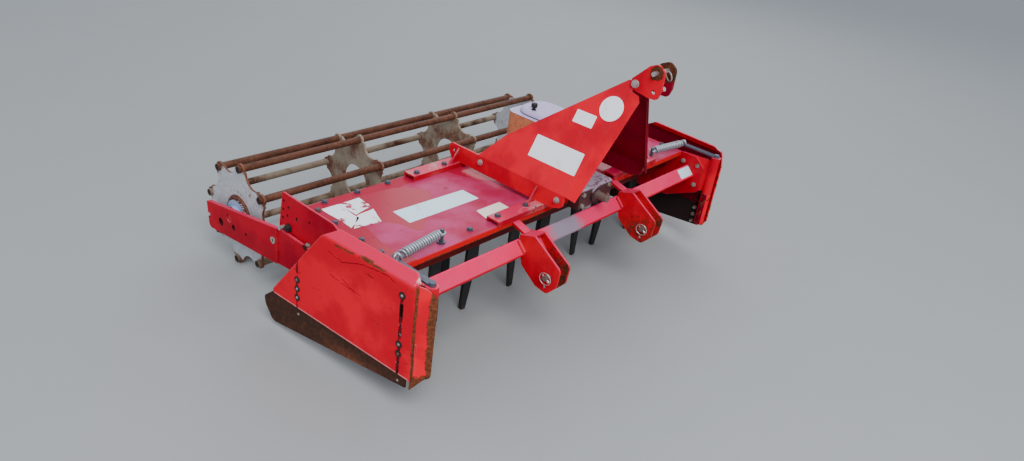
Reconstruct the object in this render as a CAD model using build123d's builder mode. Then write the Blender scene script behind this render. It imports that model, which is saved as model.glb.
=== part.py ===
"""Rotary power harrow for a three-point linkage, 1.92 m working width.

Millimetres. +Z is up, the ground is Z = 0, the tractor is at -Y. The machine's right side is
-X, its left side is +X. The origin is on the ground, midway across and midway front to rear.
"""
import os
from math import atan2, cos, radians, sin, tan

from build123d import *

os.makedirs("parts", exist_ok=True)

# Clearances
PIN_FIT = 0.05
RUNNING_GAP = 0.3

# Rotors: one row of vertical shafts, each with a holder and two knife tines
ROTOR_COUNT = 8
ROTOR_PITCH = 240.0
ROTOR_ROW_Y = -227.0
ROTOR_SHAFT_RADIUS = 25.0
ROTOR_SHAFT_DEPTH = 26.0
ROTOR_FLANGE_RADIUS = 56.0
ROTOR_FLANGE_THICKNESS = 16.0
HOLDER_HEIGHT = 34.0
HOLDER_NECK = 58.0
TINE_ORBIT_RADIUS = 94.0
TINE_THICKNESS = 16.0
TINE_WIDTH = 66.0
TINE_TIP_WIDTH = 32.0
TINE_TRAIL = 24.0
TINE_BEVEL = 6.0
TINE_FRONT_REACH = 40.0
TINE_BACK_REACH = 60.0
TINE_SOCKET_WALL = 12.0
SOCKET_CORNER_RADIUS = 8.0
TIMED_HEADING = -90.0
TINE_SWING = 6.0

# Gear trough and its lid
TROUGH_END_INSET = 5.0
TROUGH_BOTTOM_Z = 385.0
TROUGH_TOP_WIDTH = 436.0
TROUGH_BOTTOM_WIDTH = 396.0
TROUGH_FLANGE_THICKNESS = 6.0
TROUGH_EDGE_RADIUS = 16.0
BOSS_RADIUS = 60.0
BOSS_HEIGHT = 23.0
LID_TOP_Z = 506.0
LID_WIDTH = 546.0
LID_THICKNESS = 6.0
LID_LIP_DEPTH = 24.0
LID_BEND_RADIUS = 5.0

# End plates: they close the trough, carry the front beam and hold the roller arms
END_PLATE_THICKNESS = 8.0
END_PLATE_FRONT_Y = -640.0
END_PLATE_REAR_Y = 169.0
END_PLATE_TAIL_Y = 192.0
END_PLATE_NOSE_DROP = 44.0
END_PLATE_NOSE_LENGTH = 50.0
END_PLATE_HEEL_DROP = 42.0
END_PLATE_HEEL_SETBACK = 10.0
END_PLATE_SKIRT = 24.0
END_PLATE_EYE_AHEAD = 50.0
END_PLATE_EYE_BEHIND = 20.0
END_PLATE_CHIN = 74.0
SECTOR_RISE = 14.0
SECTOR_FRONT_Y = -178.0

# Front beam: a square tube turned on its edge
BEAM_SIZE = 70.0
BEAM_WALL = 6.0
BEAM_Y = -551.0
BEAM_Z = 404.0
BEAM_CORNER_RADIUS = 8.0

# Lower hitch clevises, first linkage category
HITCH_SPACING = 683.0
HITCH_PIN_RADIUS = 11.0
HITCH_PIN_Y = -725.0
HITCH_PIN_Z = 365.0
HITCH_SPARE_HOLE_RADIUS = 8.0
CLEVIS_GAP = 49.0
CLEVIS_PLATE = 10.0
CLEVIS_BRIDGE = 8.0
CLEVIS_TIE_WIDTH = 40.0
CLEVIS_TIE_DEPTH = 12.0
CLEVIS_REAR_RISE = 70.0
CLEVIS_REAR_SETBACK = 6.0
CLEVIS_PEAK_RISE = 94.0
CLEVIS_PEAK_SETBACK = 80.0
CLEVIS_NOSE_RADIUS = 26.0
CLEVIS_RIB_HEIGHT = 9.0
CLEVIS_RIB_WIDTH = 13.0
HITCH_PIN_HEAD = 8.0
HITCH_PIN_TAIL = 26.0

# Headstock, gearbox and input shaft stand half a rotor pitch to the left of the middle
HEADSTOCK_X = ROTOR_PITCH / 2
HEADSTOCK_PLATE = 10.0
HEADSTOCK_FOOT_SPREAD = 596.0
HEADSTOCK_HEAD_SPREAD = 92.0
HEADSTOCK_FOOT_TOP_Z = 602.0
HEADSTOCK_FOOT_FRONT_Y = -596.0
HEADSTOCK_FOOT_OVERHANG = 10.0
HEADSTOCK_FLANGE_WIDTH = 48.0
HEADSTOCK_FLANGE_ANGLE = 48.0
TOP_LINK_PIN_RADIUS = 9.5
TOP_LINK_Y = -746.0
TOP_LINK_UPPER_Z = 1118.0
TOP_LINK_PITCH = 75.0
HEAD_DEPTH = 78.0
HEAD_FLANGE_DROP = 96.0
LEAN_PLATE_DROP = 50.0
LEAN_SHOULDER_RISE = 110.0
LEAN_REAR_SETBACK = 175.0
LEAN_SHOULDER_SETBACK = 262.0
SPACER_RADIUS = 16.0
SPACER_SETBACK = 82.0
SPACER_DROP = 66.0

# Rails that carry the headstock on the lid
RAIL_HEIGHT = 22.0
RAIL_WALL = 8.0
RAIL_WIDTH = 66.0
RAIL_LENGTH = 352.0
RAIL_INNER_OFFSET = 218.0
RAIL_FRONT_INSET = 27.0
GUSSET_THICKNESS = 8.0
GUSSET_LENGTH = 46.0

# Gearbox and its input housing
GEARBOX_WIDTH = 240.0
GEARBOX_FRONT_Y = -348.0
GEARBOX_REAR_Y = -92.0
GEARBOX_TOP_Z = 770.0
GEARBOX_FLANGE = 18.0
GEARBOX_FLANGE_HEIGHT = 16.0
GEARBOX_CORNER_RADIUS = 46.0
GEARBOX_COVER_INSET = 24.0
GEARBOX_COVER_RADIUS = 74.0
GEARBOX_COVER_HEIGHT = 24.0
GEARBOX_CROWN_RADIUS = 20.0
INPUT_WIDTH = 236.0
INPUT_FRONT_Y = -556.0
INPUT_TOP_Z = 557.0
INPUT_BOTTOM_Z = 466.0
INPUT_SHAFT_RADIUS = 17.5
INPUT_SHAFT_Z = 517.0
INPUT_SHAFT_REACH = 54.0
INPUT_SHAFT_DEPTH = 40.0
INPUT_JOURNAL_RADIUS = 21.0
INPUT_SHOULDER = 1.0
INPUT_SEAL_RADIUS = 38.0
INPUT_SEAL_DEPTH = 10.0

# Side shields on vertical hinges at the front corners
SHIELD_FOLD_OUTSET = 63.0
SHIELD_FOLD_Y = -680.0
SHIELD_SPLAY = 4.0
SHIELD_SHEET = 5.0
SHIELD_BOTTOM_Z = 165.0
SHIELD_TOP_Z = 580.0
SHIELD_BEND_Z = 540.0
SHIELD_BEND_RADIUS = 26.0
SHIELD_LIP_ANGLE = 40.0
SHIELD_LENGTH = 750.0
SHIELD_TOP_LENGTH = 396.0
SHIELD_SHOULDER_LENGTH = 462.0
SHIELD_SHOULDER_DROP = 41.0
SHIELD_FLANGE_WIDTH = 72.0
SHIELD_FLANGE_ANGLE = 52.0
SHIELD_FLANGE_TOP_Z = 557.0
SHIELD_FLANGE_BOTTOM_Z = 128.0
SHIELD_WEAR_PLATE = 6.0
SHIELD_WEAR_OVERLAP = 70.0
SHIELD_HOLE_RADIUS = 6.5
SHIELD_HOLE_PITCH = 39.5
SHIELD_HOLE_Z = 174.0
SHIELD_SLOT_ROW = 6.5
WEAR_TOE_DROP = 40.0
WEAR_TOE_GAP = 1.0
WEAR_TOP_SETBACK = 90.0
WEAR_HEEL_REACH = 50.0
WEAR_HEEL_RISE = 36.0
WEAR_HEEL_DROP = 143.0
HINGE_OUTSET = 8.0
HINGE_Y = -685.0
HINGE_TUBE_RADIUS = 24.0
HINGE_PIN_RADIUS = 12.0
HINGE_TOP_Z = 537.0
HINGE_SPLIT_Z = 339.0
HINGE_WEB_THICKNESS = 8.0
BRACKET_PLATE = 8.0
BRACKET_REAR_Y = -495.0
BRACKET_TOP_Z = 506.0
BRACKET_FRONT_RISE = 10.0
BRACKET_FOOT_RISE = 20.0
BRACKET_FOOT_LENGTH = 40.0
HINGE_WEB_MARGIN = 30.0
LEVER_LENGTH = 187.0
LEVER_WIDTH = 28.0
LEVER_THICKNESS = 8.0
HINGE_PIN_TIP = 6.0

# Return springs of the shields
SPRING_RADIUS = 18.0
SPRING_HOOK_RADIUS = 4.0
SPRING_SPAN = 255.0
SPRING_POST_INSET = 38.0
SPRING_POST_RADIUS = 8.0
SPRING_POST_COLLAR = 16.0
SPRING_POST_COLLAR_HEIGHT = 8.0
SPRING_POST_RISE = 14.0
SPRING_HOOK_LENGTH = 26.0

# Roller arms and the depth stops that they rest against
ARM_GAP = 6.0
ARM_PLATE = 12.0
ARM_PIVOT_Y = -420.0
ARM_PIVOT_Z = 300.0
ARM_PIVOT_RADIUS = 15.0
ARM_EYE_RADIUS = 52.0
ARM_TOP_Z = 360.0
ARM_BEND_Y = 172.0
ARM_REAR_Y = 712.0
ARM_REAR_TOP_Z = 257.0
ARM_TAIL_DEPTH = 124.0
ARM_TAIL_SLANT = 13.0
ARM_HEEL_DEPTH = 118.0
ARM_HEEL_SETBACK = 65.0
ARM_BELLY_Y = 105.0
ARM_BELLY_Z = 205.0
ARM_LAP_Y = 180.0
ARM_LAP_PLATE = 6.0
PIVOT_COLLAR_RADIUS = 24.0
PIVOT_COLLAR = 5.0
PIVOT_HEAD = 8.0
STOP_PIN_RADIUS = 9.0
STOP_PIN_Y = 160.0
STOP_PIN_TAIL = 14.0
STOP_PIN_REACH = 20.0

# Cage roller
ROLLER_Y = 533.0
ROLLER_BAR_COUNT = 8
ROLLER_BAR_CIRCLE = 225.0
ROLLER_BAR_RADIUS = 16.0
ROLLER_FIRST_BAR_ANGLE = -5.0
ROLLER_LOBE_RADIUS = 24.0
ROLLER_SCALLOP_RADIUS = 58.0
ROLLER_SCALLOP_CIRCLE = 246.0
ROLLER_DISC_THICKNESS = 10.0
ROLLER_END_GAP = 37.0
ROLLER_INNER_DISC_X = 311.0
ROLLER_BAR_OVERHANG = 12.0
ROLLER_INNER_HOLE = 85.0
ROLLER_HUB_RADIUS = 72.0
ROLLER_HUB_THICKNESS = 14.0
ROLLER_RING_RADIUS = 86.0
ROLLER_RING_WIDTH = 8.0
ROLLER_RING_THICKNESS = 7.0
ROLLER_STUB_RADIUS = 20.0
ROLLER_BEARING_RADIUS = 46.0

# Places that follow from the sizes above
TROUGH_HALF = ROTOR_COUNT * ROTOR_PITCH / 2 - TROUGH_END_INSET
LID_UNDER_Z = LID_TOP_Z - LID_THICKNESS
LID_FRONT_Y = ROTOR_ROW_Y - LID_WIDTH / 2
LID_REAR_Y = ROTOR_ROW_Y + LID_WIDTH / 2
BOSS_BOTTOM_Z = TROUGH_BOTTOM_Z - BOSS_HEIGHT
FLANGE_TOP_Z = BOSS_BOTTOM_Z - RUNNING_GAP
HOLDER_TOP_Z = FLANGE_TOP_Z - ROTOR_FLANGE_THICKNESS
HOLDER_BOTTOM_Z = HOLDER_TOP_Z - HOLDER_HEIGHT
END_PLATE_OUTER = TROUGH_HALF + END_PLATE_THICKNESS
RAIL_TOP_Z = LID_TOP_Z + RAIL_HEIGHT
RAIL_FRONT_Y = LID_FRONT_Y + RAIL_FRONT_INSET
RAIL_REAR_Y = LID_REAR_Y - RAIL_WIDTH / 2
HEADSTOCK_FOOT_REAR_Y = LID_REAR_Y + HEADSTOCK_FOOT_OVERHANG
HEADSTOCK_HEAD_Z = TOP_LINK_UPPER_Z - HEAD_DEPTH
TOP_LINK_LOWER_Z = TOP_LINK_UPPER_Z - TOP_LINK_PITCH
SPACER_Y = TOP_LINK_Y + SPACER_SETBACK
SPACER_Z = TOP_LINK_UPPER_Z - SPACER_DROP
LEAN_TOP_Z = TOP_LINK_UPPER_Z - LEAN_PLATE_DROP
SPRING_POST_Y = LID_FRONT_Y + SPRING_POST_INSET
ARM_INNER = END_PLATE_OUTER + ARM_GAP
ARM_OUTER = ARM_INNER + ARM_PLATE
HINGE_X = END_PLATE_OUTER + HINGE_OUTSET
SHIELD_FOLD_X = HINGE_X + SHIELD_FOLD_OUTSET
SPRING_POST_X = HINGE_X - SPRING_SPAN
ROLLER_OUTER_DISC_X = ARM_INNER - ROLLER_END_GAP
ROLLER_BOSS_REACH = ROLLER_END_GAP - ROLLER_DISC_THICKNESS / 2 - ROLLER_HUB_THICKNESS - RUNNING_GAP
SPRING_Z = HINGE_TOP_Z + LEVER_THICKNESS + SPRING_HOOK_RADIUS + 2 * RUNNING_GAP
STOP_PIN_Z = ARM_TOP_Z + RUNNING_GAP + STOP_PIN_RADIUS
LEAN = atan2((HEADSTOCK_FOOT_SPREAD - HEADSTOCK_HEAD_SPREAD) / 2, HEADSTOCK_HEAD_Z - HEADSTOCK_FOOT_TOP_Z)

rotor_x = [(index - (ROTOR_COUNT - 1) / 2) * ROTOR_PITCH for index in range(ROTOR_COUNT)]
bar_angles = [ROLLER_FIRST_BAR_ANGLE + index * 360 / ROLLER_BAR_COUNT for index in range(ROLLER_BAR_COUNT)]
lowest_bar = max(-cos(radians(angle)) for angle in bar_angles)
ROLLER_Z = ROLLER_BAR_CIRCLE * lowest_bar + ROLLER_LOBE_RADIUS

pieces = {}


def rounded_face(corners):
    """Face in the open sketch from rows of (across, up, corner radius)."""
    with BuildLine() as outline:
        points = [(across, up) for across, up, radius in corners]
        radii = [radius for across, up, radius in corners]
        FilletPolyline(*points, radius=radii, close=True)
    make_face(outline.edges())


# Trough: a deep tray with a flange under the lid and a bearing boss for each rotor
trough_profile = [
    # Y, Z, corner radius
    (ROTOR_ROW_Y - TROUGH_TOP_WIDTH / 2, LID_UNDER_Z, 0),
    (ROTOR_ROW_Y - TROUGH_BOTTOM_WIDTH / 2, TROUGH_BOTTOM_Z, TROUGH_EDGE_RADIUS),
    (ROTOR_ROW_Y + TROUGH_BOTTOM_WIDTH / 2, TROUGH_BOTTOM_Z, TROUGH_EDGE_RADIUS),
    (ROTOR_ROW_Y + TROUGH_TOP_WIDTH / 2, LID_UNDER_Z, 0),
]
with BuildPart() as trough:
    with BuildSketch(Plane.YZ.offset(-TROUGH_HALF)):
        rounded_face(trough_profile)
        with Locations((ROTOR_ROW_Y, LID_UNDER_Z - TROUGH_FLANGE_THICKNESS / 2)):
            Rectangle(LID_WIDTH - 2 * LID_THICKNESS, TROUGH_FLANGE_THICKNESS)
    extrude(amount=2 * TROUGH_HALF)
    with BuildSketch(Plane.XY.offset(BOSS_BOTTOM_Z)):
        with Locations(*[(x, ROTOR_ROW_Y) for x in rotor_x]):
            Circle(BOSS_RADIUS)
    extrude(amount=BOSS_HEIGHT + TROUGH_FLANGE_THICKNESS)
    with BuildSketch(Plane.XY.offset(BOSS_BOTTOM_Z)):
        with Locations(*[(x, ROTOR_ROW_Y) for x in rotor_x]):
            Circle(ROTOR_SHAFT_RADIUS + PIN_FIT)
    extrude(amount=ROTOR_SHAFT_DEPTH + RUNNING_GAP, mode=Mode.SUBTRACT)
pieces["trough"] = trough

# Lid: folded down along its front and rear edges
with BuildPart() as trough_lid:
    with BuildSketch(Plane.YZ.offset(-TROUGH_HALF)):
        rounded_face([
            (LID_FRONT_Y, LID_TOP_Z - LID_LIP_DEPTH, 0),
            (LID_FRONT_Y, LID_TOP_Z, LID_BEND_RADIUS),
            (LID_REAR_Y, LID_TOP_Z, LID_BEND_RADIUS),
            (LID_REAR_Y, LID_TOP_Z - LID_LIP_DEPTH, 0),
        ])
        with Locations((ROTOR_ROW_Y, LID_UNDER_Z - LID_LIP_DEPTH / 2)):
            Rectangle(LID_WIDTH - 2 * LID_THICKNESS, LID_LIP_DEPTH, mode=Mode.SUBTRACT)
    extrude(amount=2 * TROUGH_HALF)
pieces["trough_lid"] = trough_lid

# End plates, with the sector behind that holds the depth stop
end_plate_outline = [
    # Y, Z, corner radius
    (END_PLATE_FRONT_Y, LID_TOP_Z - END_PLATE_NOSE_DROP, 20),
    (END_PLATE_FRONT_Y + END_PLATE_NOSE_LENGTH, LID_TOP_Z, 20),
    (SECTOR_FRONT_Y, LID_TOP_Z, 12),
    (SECTOR_FRONT_Y + 2 * SECTOR_RISE, LID_TOP_Z + SECTOR_RISE, 12),
    (END_PLATE_REAR_Y, LID_TOP_Z + SECTOR_RISE, 6),
    (END_PLATE_TAIL_Y, STOP_PIN_Z, 12),
    (END_PLATE_TAIL_Y - END_PLATE_HEEL_SETBACK, STOP_PIN_Z - END_PLATE_HEEL_DROP, 16),
    (ROTOR_ROW_Y + TROUGH_BOTTOM_WIDTH / 2, TROUGH_BOTTOM_Z - END_PLATE_SKIRT, 30),
    (ROTOR_ROW_Y - TROUGH_BOTTOM_WIDTH / 3, TROUGH_BOTTOM_Z - END_PLATE_SKIRT, 30),
    (ARM_PIVOT_Y + END_PLATE_EYE_BEHIND, ARM_PIVOT_Z - ARM_EYE_RADIUS, 20),
    (ARM_PIVOT_Y - END_PLATE_EYE_AHEAD, ARM_PIVOT_Z - ARM_EYE_RADIUS, 40),
    (END_PLATE_FRONT_Y, BEAM_Z - END_PLATE_CHIN, 20),
]
sector_holes = [
    # distance behind the stop pin, height above it, radius
    (0, 0, STOP_PIN_RADIUS + PIN_FIT),
    (0, 115, 5.5),
    (4, 77, 5.5),
    (7, 39, 5.5),
    (-30, 98, 5.5),
    (-24, 59, 5.5),
    (-87, 70, 7.5),
    (-166, 92, 5.0),
]
with BuildPart() as end_plate_right:
    with BuildSketch(Plane.YZ.offset(-END_PLATE_OUTER)):
        rounded_face(end_plate_outline)
        with Locations((ARM_PIVOT_Y, ARM_PIVOT_Z)):
            Circle(ARM_PIVOT_RADIUS + PIN_FIT, mode=Mode.SUBTRACT)
        for behind, above, hole_radius in sector_holes:
            with Locations((STOP_PIN_Y + behind, STOP_PIN_Z + above)):
                Circle(hole_radius, mode=Mode.SUBTRACT)
    extrude(amount=END_PLATE_THICKNESS)
pieces["end_plate_right"] = end_plate_right

with BuildPart() as end_plate_left:
    mirror(end_plate_right.part, about=Plane.YZ)
pieces["end_plate_left"] = end_plate_left

# Front beam between the end plates, standing on one edge
with BuildPart() as front_beam:
    with BuildSketch(Plane.YZ.offset(-TROUGH_HALF)):
        with Locations(Location((BEAM_Y, BEAM_Z), 45)):
            RectangleRounded(BEAM_SIZE, BEAM_SIZE, BEAM_CORNER_RADIUS)
            RectangleRounded(BEAM_SIZE - 2 * BEAM_WALL, BEAM_SIZE - 2 * BEAM_WALL,
                             BEAM_CORNER_RADIUS / 3, mode=Mode.SUBTRACT)
    extrude(amount=2 * TROUGH_HALF)
pieces["front_beam"] = front_beam

# Lower hitch clevises: two cheeks on the beam with ribs beside them, a bridge over them and a tie
# to the lid's lip
clevis_rear = (BEAM_Y - CLEVIS_REAR_SETBACK, BEAM_Z + CLEVIS_REAR_RISE)
clevis_peak = (BEAM_Y - CLEVIS_PEAK_SETBACK, BEAM_Z + CLEVIS_PEAK_RISE)
clevis_outline = [
    # Y, Z, corner radius
    (*clevis_rear, 4),
    (*clevis_peak, 8),
    (HITCH_PIN_Y - 49, HITCH_PIN_Z + 46, CLEVIS_NOSE_RADIUS),
    (HITCH_PIN_Y - 42, HITCH_PIN_Z - 34, CLEVIS_NOSE_RADIUS),
    (HITCH_PIN_Y - 2, HITCH_PIN_Z - 80, CLEVIS_NOSE_RADIUS),
    (BEAM_Y - 116, BEAM_Z - 110, CLEVIS_NOSE_RADIUS),
    (BEAM_Y - 34, BEAM_Z - 52, 8),
]
clevis_inner = HITCH_SPACING / 2 - CLEVIS_GAP / 2
clevis_outer = HITCH_SPACING / 2 + CLEVIS_GAP / 2
with BuildPart() as hitch_clevis_right:
    with BuildSketch(Plane.YZ.offset(-clevis_outer - CLEVIS_PLATE)):
        rounded_face(clevis_outline)
    extrude(amount=CLEVIS_PLATE)
    with BuildSketch(Plane.YZ.offset(-clevis_inner)):
        rounded_face(clevis_outline)
    extrude(amount=CLEVIS_PLATE)
    with BuildSketch(Plane.YZ.offset(-clevis_outer)):
        with BuildLine():
            Polyline(
                clevis_rear,
                clevis_peak,
                (clevis_peak[0], clevis_peak[1] - CLEVIS_BRIDGE),
                (clevis_rear[0], clevis_rear[1] - CLEVIS_BRIDGE),
                close=True,
            )
        make_face()
        with BuildLine():
            Polyline(
                (BEAM_Y - 52, BEAM_Z + 80),
                (BEAM_Y - 108, BEAM_Z + 24),
                (BEAM_Y - 96, BEAM_Z + 24),
                (BEAM_Y - 40, BEAM_Z + 76),
                close=True,
            )
        make_face()
    extrude(amount=CLEVIS_GAP)
    with BuildSketch(Plane.YZ.offset(-clevis_outer - CLEVIS_PLATE - CLEVIS_RIB_WIDTH)):
        with Locations(Location((BEAM_Y, BEAM_Z), 45)):
            with Locations((0, BEAM_SIZE / 2)):
                Rectangle(BEAM_SIZE - 2 * BEAM_CORNER_RADIUS, 2 * CLEVIS_RIB_HEIGHT)
    extrude(amount=CLEVIS_GAP + 2 * CLEVIS_PLATE + 2 * CLEVIS_RIB_WIDTH)
    with BuildSketch(Plane.YZ.offset(-HITCH_SPACING / 2 - CLEVIS_TIE_WIDTH / 2)):
        with BuildLine():
            Polyline(
                (BEAM_Y - 20, BEAM_Z + CLEVIS_REAR_RISE + CLEVIS_TIE_DEPTH / 2),
                (LID_FRONT_Y, LID_TOP_Z - LID_LIP_DEPTH / 2 + CLEVIS_TIE_DEPTH / 2),
                (LID_FRONT_Y, LID_TOP_Z - LID_LIP_DEPTH / 2 - CLEVIS_TIE_DEPTH / 2),
                (BEAM_Y - 20, BEAM_Z + CLEVIS_REAR_RISE - CLEVIS_TIE_DEPTH / 2),
                close=True,
            )
        make_face()
    extrude(amount=CLEVIS_TIE_WIDTH)
    with BuildSketch(Plane.YZ.offset(-HITCH_SPACING)):
        with Locations(Location((BEAM_Y, BEAM_Z), 45)):
            RectangleRounded(BEAM_SIZE, BEAM_SIZE, BEAM_CORNER_RADIUS)
    extrude(amount=HITCH_SPACING, mode=Mode.SUBTRACT)
    with BuildSketch(Plane.YZ.offset(-clevis_outer - CLEVIS_PLATE)):
        with Locations((HITCH_PIN_Y, HITCH_PIN_Z)):
            Circle(HITCH_PIN_RADIUS + PIN_FIT)
        with Locations((HITCH_PIN_Y + 14, HITCH_PIN_Z - 56)):
            Circle(HITCH_SPARE_HOLE_RADIUS)
    extrude(amount=CLEVIS_GAP + 2 * CLEVIS_PLATE, mode=Mode.SUBTRACT)
pieces["hitch_clevis_right"] = hitch_clevis_right

with BuildPart() as hitch_clevis_left:
    mirror(hitch_clevis_right.part, about=Plane.YZ)
pieces["hitch_clevis_left"] = hitch_clevis_left

# Hitch pins: both point the same way, with the tail for the linch pin on the right side
with BuildPart() as hitch_pin_right:
    with BuildSketch(Plane.YZ.offset(-clevis_outer - CLEVIS_PLATE - HITCH_PIN_TAIL)):
        with Locations((HITCH_PIN_Y, HITCH_PIN_Z)):
            Circle(HITCH_PIN_RADIUS)
    extrude(amount=HITCH_PIN_TAIL + CLEVIS_GAP + 2 * CLEVIS_PLATE)
    with BuildSketch(Plane.YZ.offset(-clevis_inner + CLEVIS_PLATE)):
        with Locations((HITCH_PIN_Y, HITCH_PIN_Z)):
            Circle(HITCH_PIN_RADIUS * 1.5)
    extrude(amount=HITCH_PIN_HEAD)
pieces["hitch_pin_right"] = hitch_pin_right

with BuildPart() as hitch_pin_left:
    with Locations((HITCH_SPACING, 0, 0)):
        add(hitch_pin_right.part)
pieces["hitch_pin_left"] = hitch_pin_left

# Headstock: each side is an upright foot, a plate that leans inward and an upright head
headstock_middle = Plane.YZ.offset(HEADSTOCK_X)
foot_x = HEADSTOCK_X - HEADSTOCK_FOOT_SPREAD / 2
head_x = HEADSTOCK_X - HEADSTOCK_HEAD_SPREAD / 2
leaning_plane = Plane(
    origin=(foot_x, 0, HEADSTOCK_FOOT_TOP_Z),
    x_dir=(0, 1, 0),
    z_dir=(cos(LEAN), 0, -sin(LEAN)),
)


def up_the_slope(height):
    """Distance up the leaning plate of a place at the given height."""
    return (height - HEADSTOCK_FOOT_TOP_Z) / cos(LEAN)


foot_outline = [
    # Y, Z, corner radius
    (HEADSTOCK_FOOT_REAR_Y - 22, RAIL_TOP_Z, 6),
    (HEADSTOCK_FOOT_REAR_Y, RAIL_TOP_Z + 32, 10),
    (HEADSTOCK_FOOT_REAR_Y - 4, HEADSTOCK_FOOT_TOP_Z, 14),
    (HEADSTOCK_FOOT_FRONT_Y - 2, HEADSTOCK_FOOT_TOP_Z, 0),
    (HEADSTOCK_FOOT_FRONT_Y, RAIL_TOP_Z + 20, 24),
    (HEADSTOCK_FOOT_FRONT_Y + 54, RAIL_TOP_Z, 24),
]
leaning_outline = [
    # Y, height, corner radius
    (HEADSTOCK_FOOT_REAR_Y - LEAN_REAR_SETBACK, HEADSTOCK_FOOT_TOP_Z, 0),
    (HEADSTOCK_FOOT_REAR_Y - LEAN_SHOULDER_SETBACK, HEADSTOCK_FOOT_TOP_Z + LEAN_SHOULDER_RISE, 30),
    (SPACER_Y + 23, LEAN_TOP_Z, 0),
    (SPACER_Y, LEAN_TOP_Z, 0),
    (HEADSTOCK_FOOT_FRONT_Y - 2, HEADSTOCK_FOOT_TOP_Z, 0),
]
head_outline = [
    # Y, Z, corner radius
    (SPACER_Y + 23, TOP_LINK_UPPER_Z - 52, 8),
    (TOP_LINK_Y + 34, TOP_LINK_UPPER_Z + 20, 20),
    (TOP_LINK_Y - 2, TOP_LINK_UPPER_Z + 36, 26),
    (TOP_LINK_Y - 35, TOP_LINK_UPPER_Z + 12, 24),
    (TOP_LINK_Y - 35, TOP_LINK_LOWER_Z + 10, 12),
    (TOP_LINK_Y - 22, TOP_LINK_LOWER_Z - 27, 18),
    (TOP_LINK_Y + 22, TOP_LINK_LOWER_Z - 27, 10),
    (SPACER_Y + 1, TOP_LINK_LOWER_Z - 17, 8),
]
flange_foot = leaning_plane.from_local_coords((HEADSTOCK_FOOT_FRONT_Y - 2, 0, HEADSTOCK_PLATE / 2))
flange_head = leaning_plane.from_local_coords(
    (SPACER_Y + 3, up_the_slope(TOP_LINK_UPPER_Z - HEAD_FLANGE_DROP), HEADSTOCK_PLATE / 2)
)
flange_run = flange_head - flange_foot
flange_turn = radians(HEADSTOCK_FLANGE_ANGLE)
flange_plane = Plane(
    origin=flange_foot,
    x_dir=Vector(sin(flange_turn) * cos(LEAN), -cos(flange_turn), -sin(flange_turn) * sin(LEAN)),
    z_dir=flange_run,
)
with BuildPart() as headstock_plate_right:
    with BuildSketch(Plane.YZ.offset(foot_x)):
        rounded_face(foot_outline)
        with Locations((HEADSTOCK_FOOT_REAR_Y - 26, RAIL_TOP_Z + 44)):
            Circle(8, mode=Mode.SUBTRACT)
    extrude(amount=HEADSTOCK_PLATE)
    with BuildSketch(leaning_plane):
        rounded_face([(y, up_the_slope(height), radius) for y, height, radius in leaning_outline])
    extrude(amount=HEADSTOCK_PLATE)
    with BuildSketch(Plane.YZ.offset(head_x)):
        rounded_face(head_outline)
    extrude(amount=HEADSTOCK_PLATE)
    with BuildSketch(flange_plane):
        Rectangle(HEADSTOCK_FLANGE_WIDTH, HEADSTOCK_PLATE, align=(Align.MIN, Align.CENTER))
        Circle(HEADSTOCK_PLATE / 2)
    extrude(amount=flange_run.length)
    with BuildSketch(Plane.YZ.offset(head_x + HEADSTOCK_PLATE)):
        Rectangle(2 * HEADSTOCK_FOOT_SPREAD - 4 * TOP_LINK_Y, 4 * TOP_LINK_UPPER_Z)
    extrude(amount=HEADSTOCK_HEAD_SPREAD, mode=Mode.SUBTRACT)
    with BuildSketch(Plane.YZ.offset(head_x)):
        with Locations((TOP_LINK_Y, TOP_LINK_UPPER_Z), (TOP_LINK_Y, TOP_LINK_LOWER_Z)):
            Circle(TOP_LINK_PIN_RADIUS + PIN_FIT)
        with Locations((SPACER_Y, SPACER_Z)):
            Circle(SPACER_RADIUS / 2 + PIN_FIT)
    extrude(amount=HEADSTOCK_PLATE, mode=Mode.SUBTRACT)
pieces["headstock_plate_right"] = headstock_plate_right

with BuildPart() as headstock_plate_left:
    mirror(headstock_plate_right.part, about=headstock_middle)
pieces["headstock_plate_left"] = headstock_plate_left

# Spacer between the heads, with its bolt through both
head_gap = HEADSTOCK_HEAD_SPREAD - 2 * HEADSTOCK_PLATE
bolt_reach = 10.0
with BuildPart() as headstock_spacer:
    with BuildSketch(Plane.YZ.offset(HEADSTOCK_X - head_gap / 2)):
        with Locations((SPACER_Y, SPACER_Z)):
            Circle(SPACER_RADIUS)
    extrude(amount=head_gap)
    with BuildSketch(Plane.YZ.offset(HEADSTOCK_X - HEADSTOCK_HEAD_SPREAD / 2 - bolt_reach)):
        with Locations((SPACER_Y, SPACER_Z)):
            Circle(SPACER_RADIUS / 2)
    extrude(amount=HEADSTOCK_HEAD_SPREAD + 2 * bolt_reach)
pieces["headstock_spacer"] = headstock_spacer

# Top link pin in the upper holes
top_pin_reach = 24.0
with BuildPart() as top_link_pin:
    with BuildSketch(Plane.YZ.offset(HEADSTOCK_X - HEADSTOCK_HEAD_SPREAD / 2 - top_pin_reach)):
        with Locations((TOP_LINK_Y, TOP_LINK_UPPER_Z)):
            Circle(TOP_LINK_PIN_RADIUS)
    extrude(amount=HEADSTOCK_HEAD_SPREAD + 2 * top_pin_reach)
pieces["top_link_pin"] = top_link_pin

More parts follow.
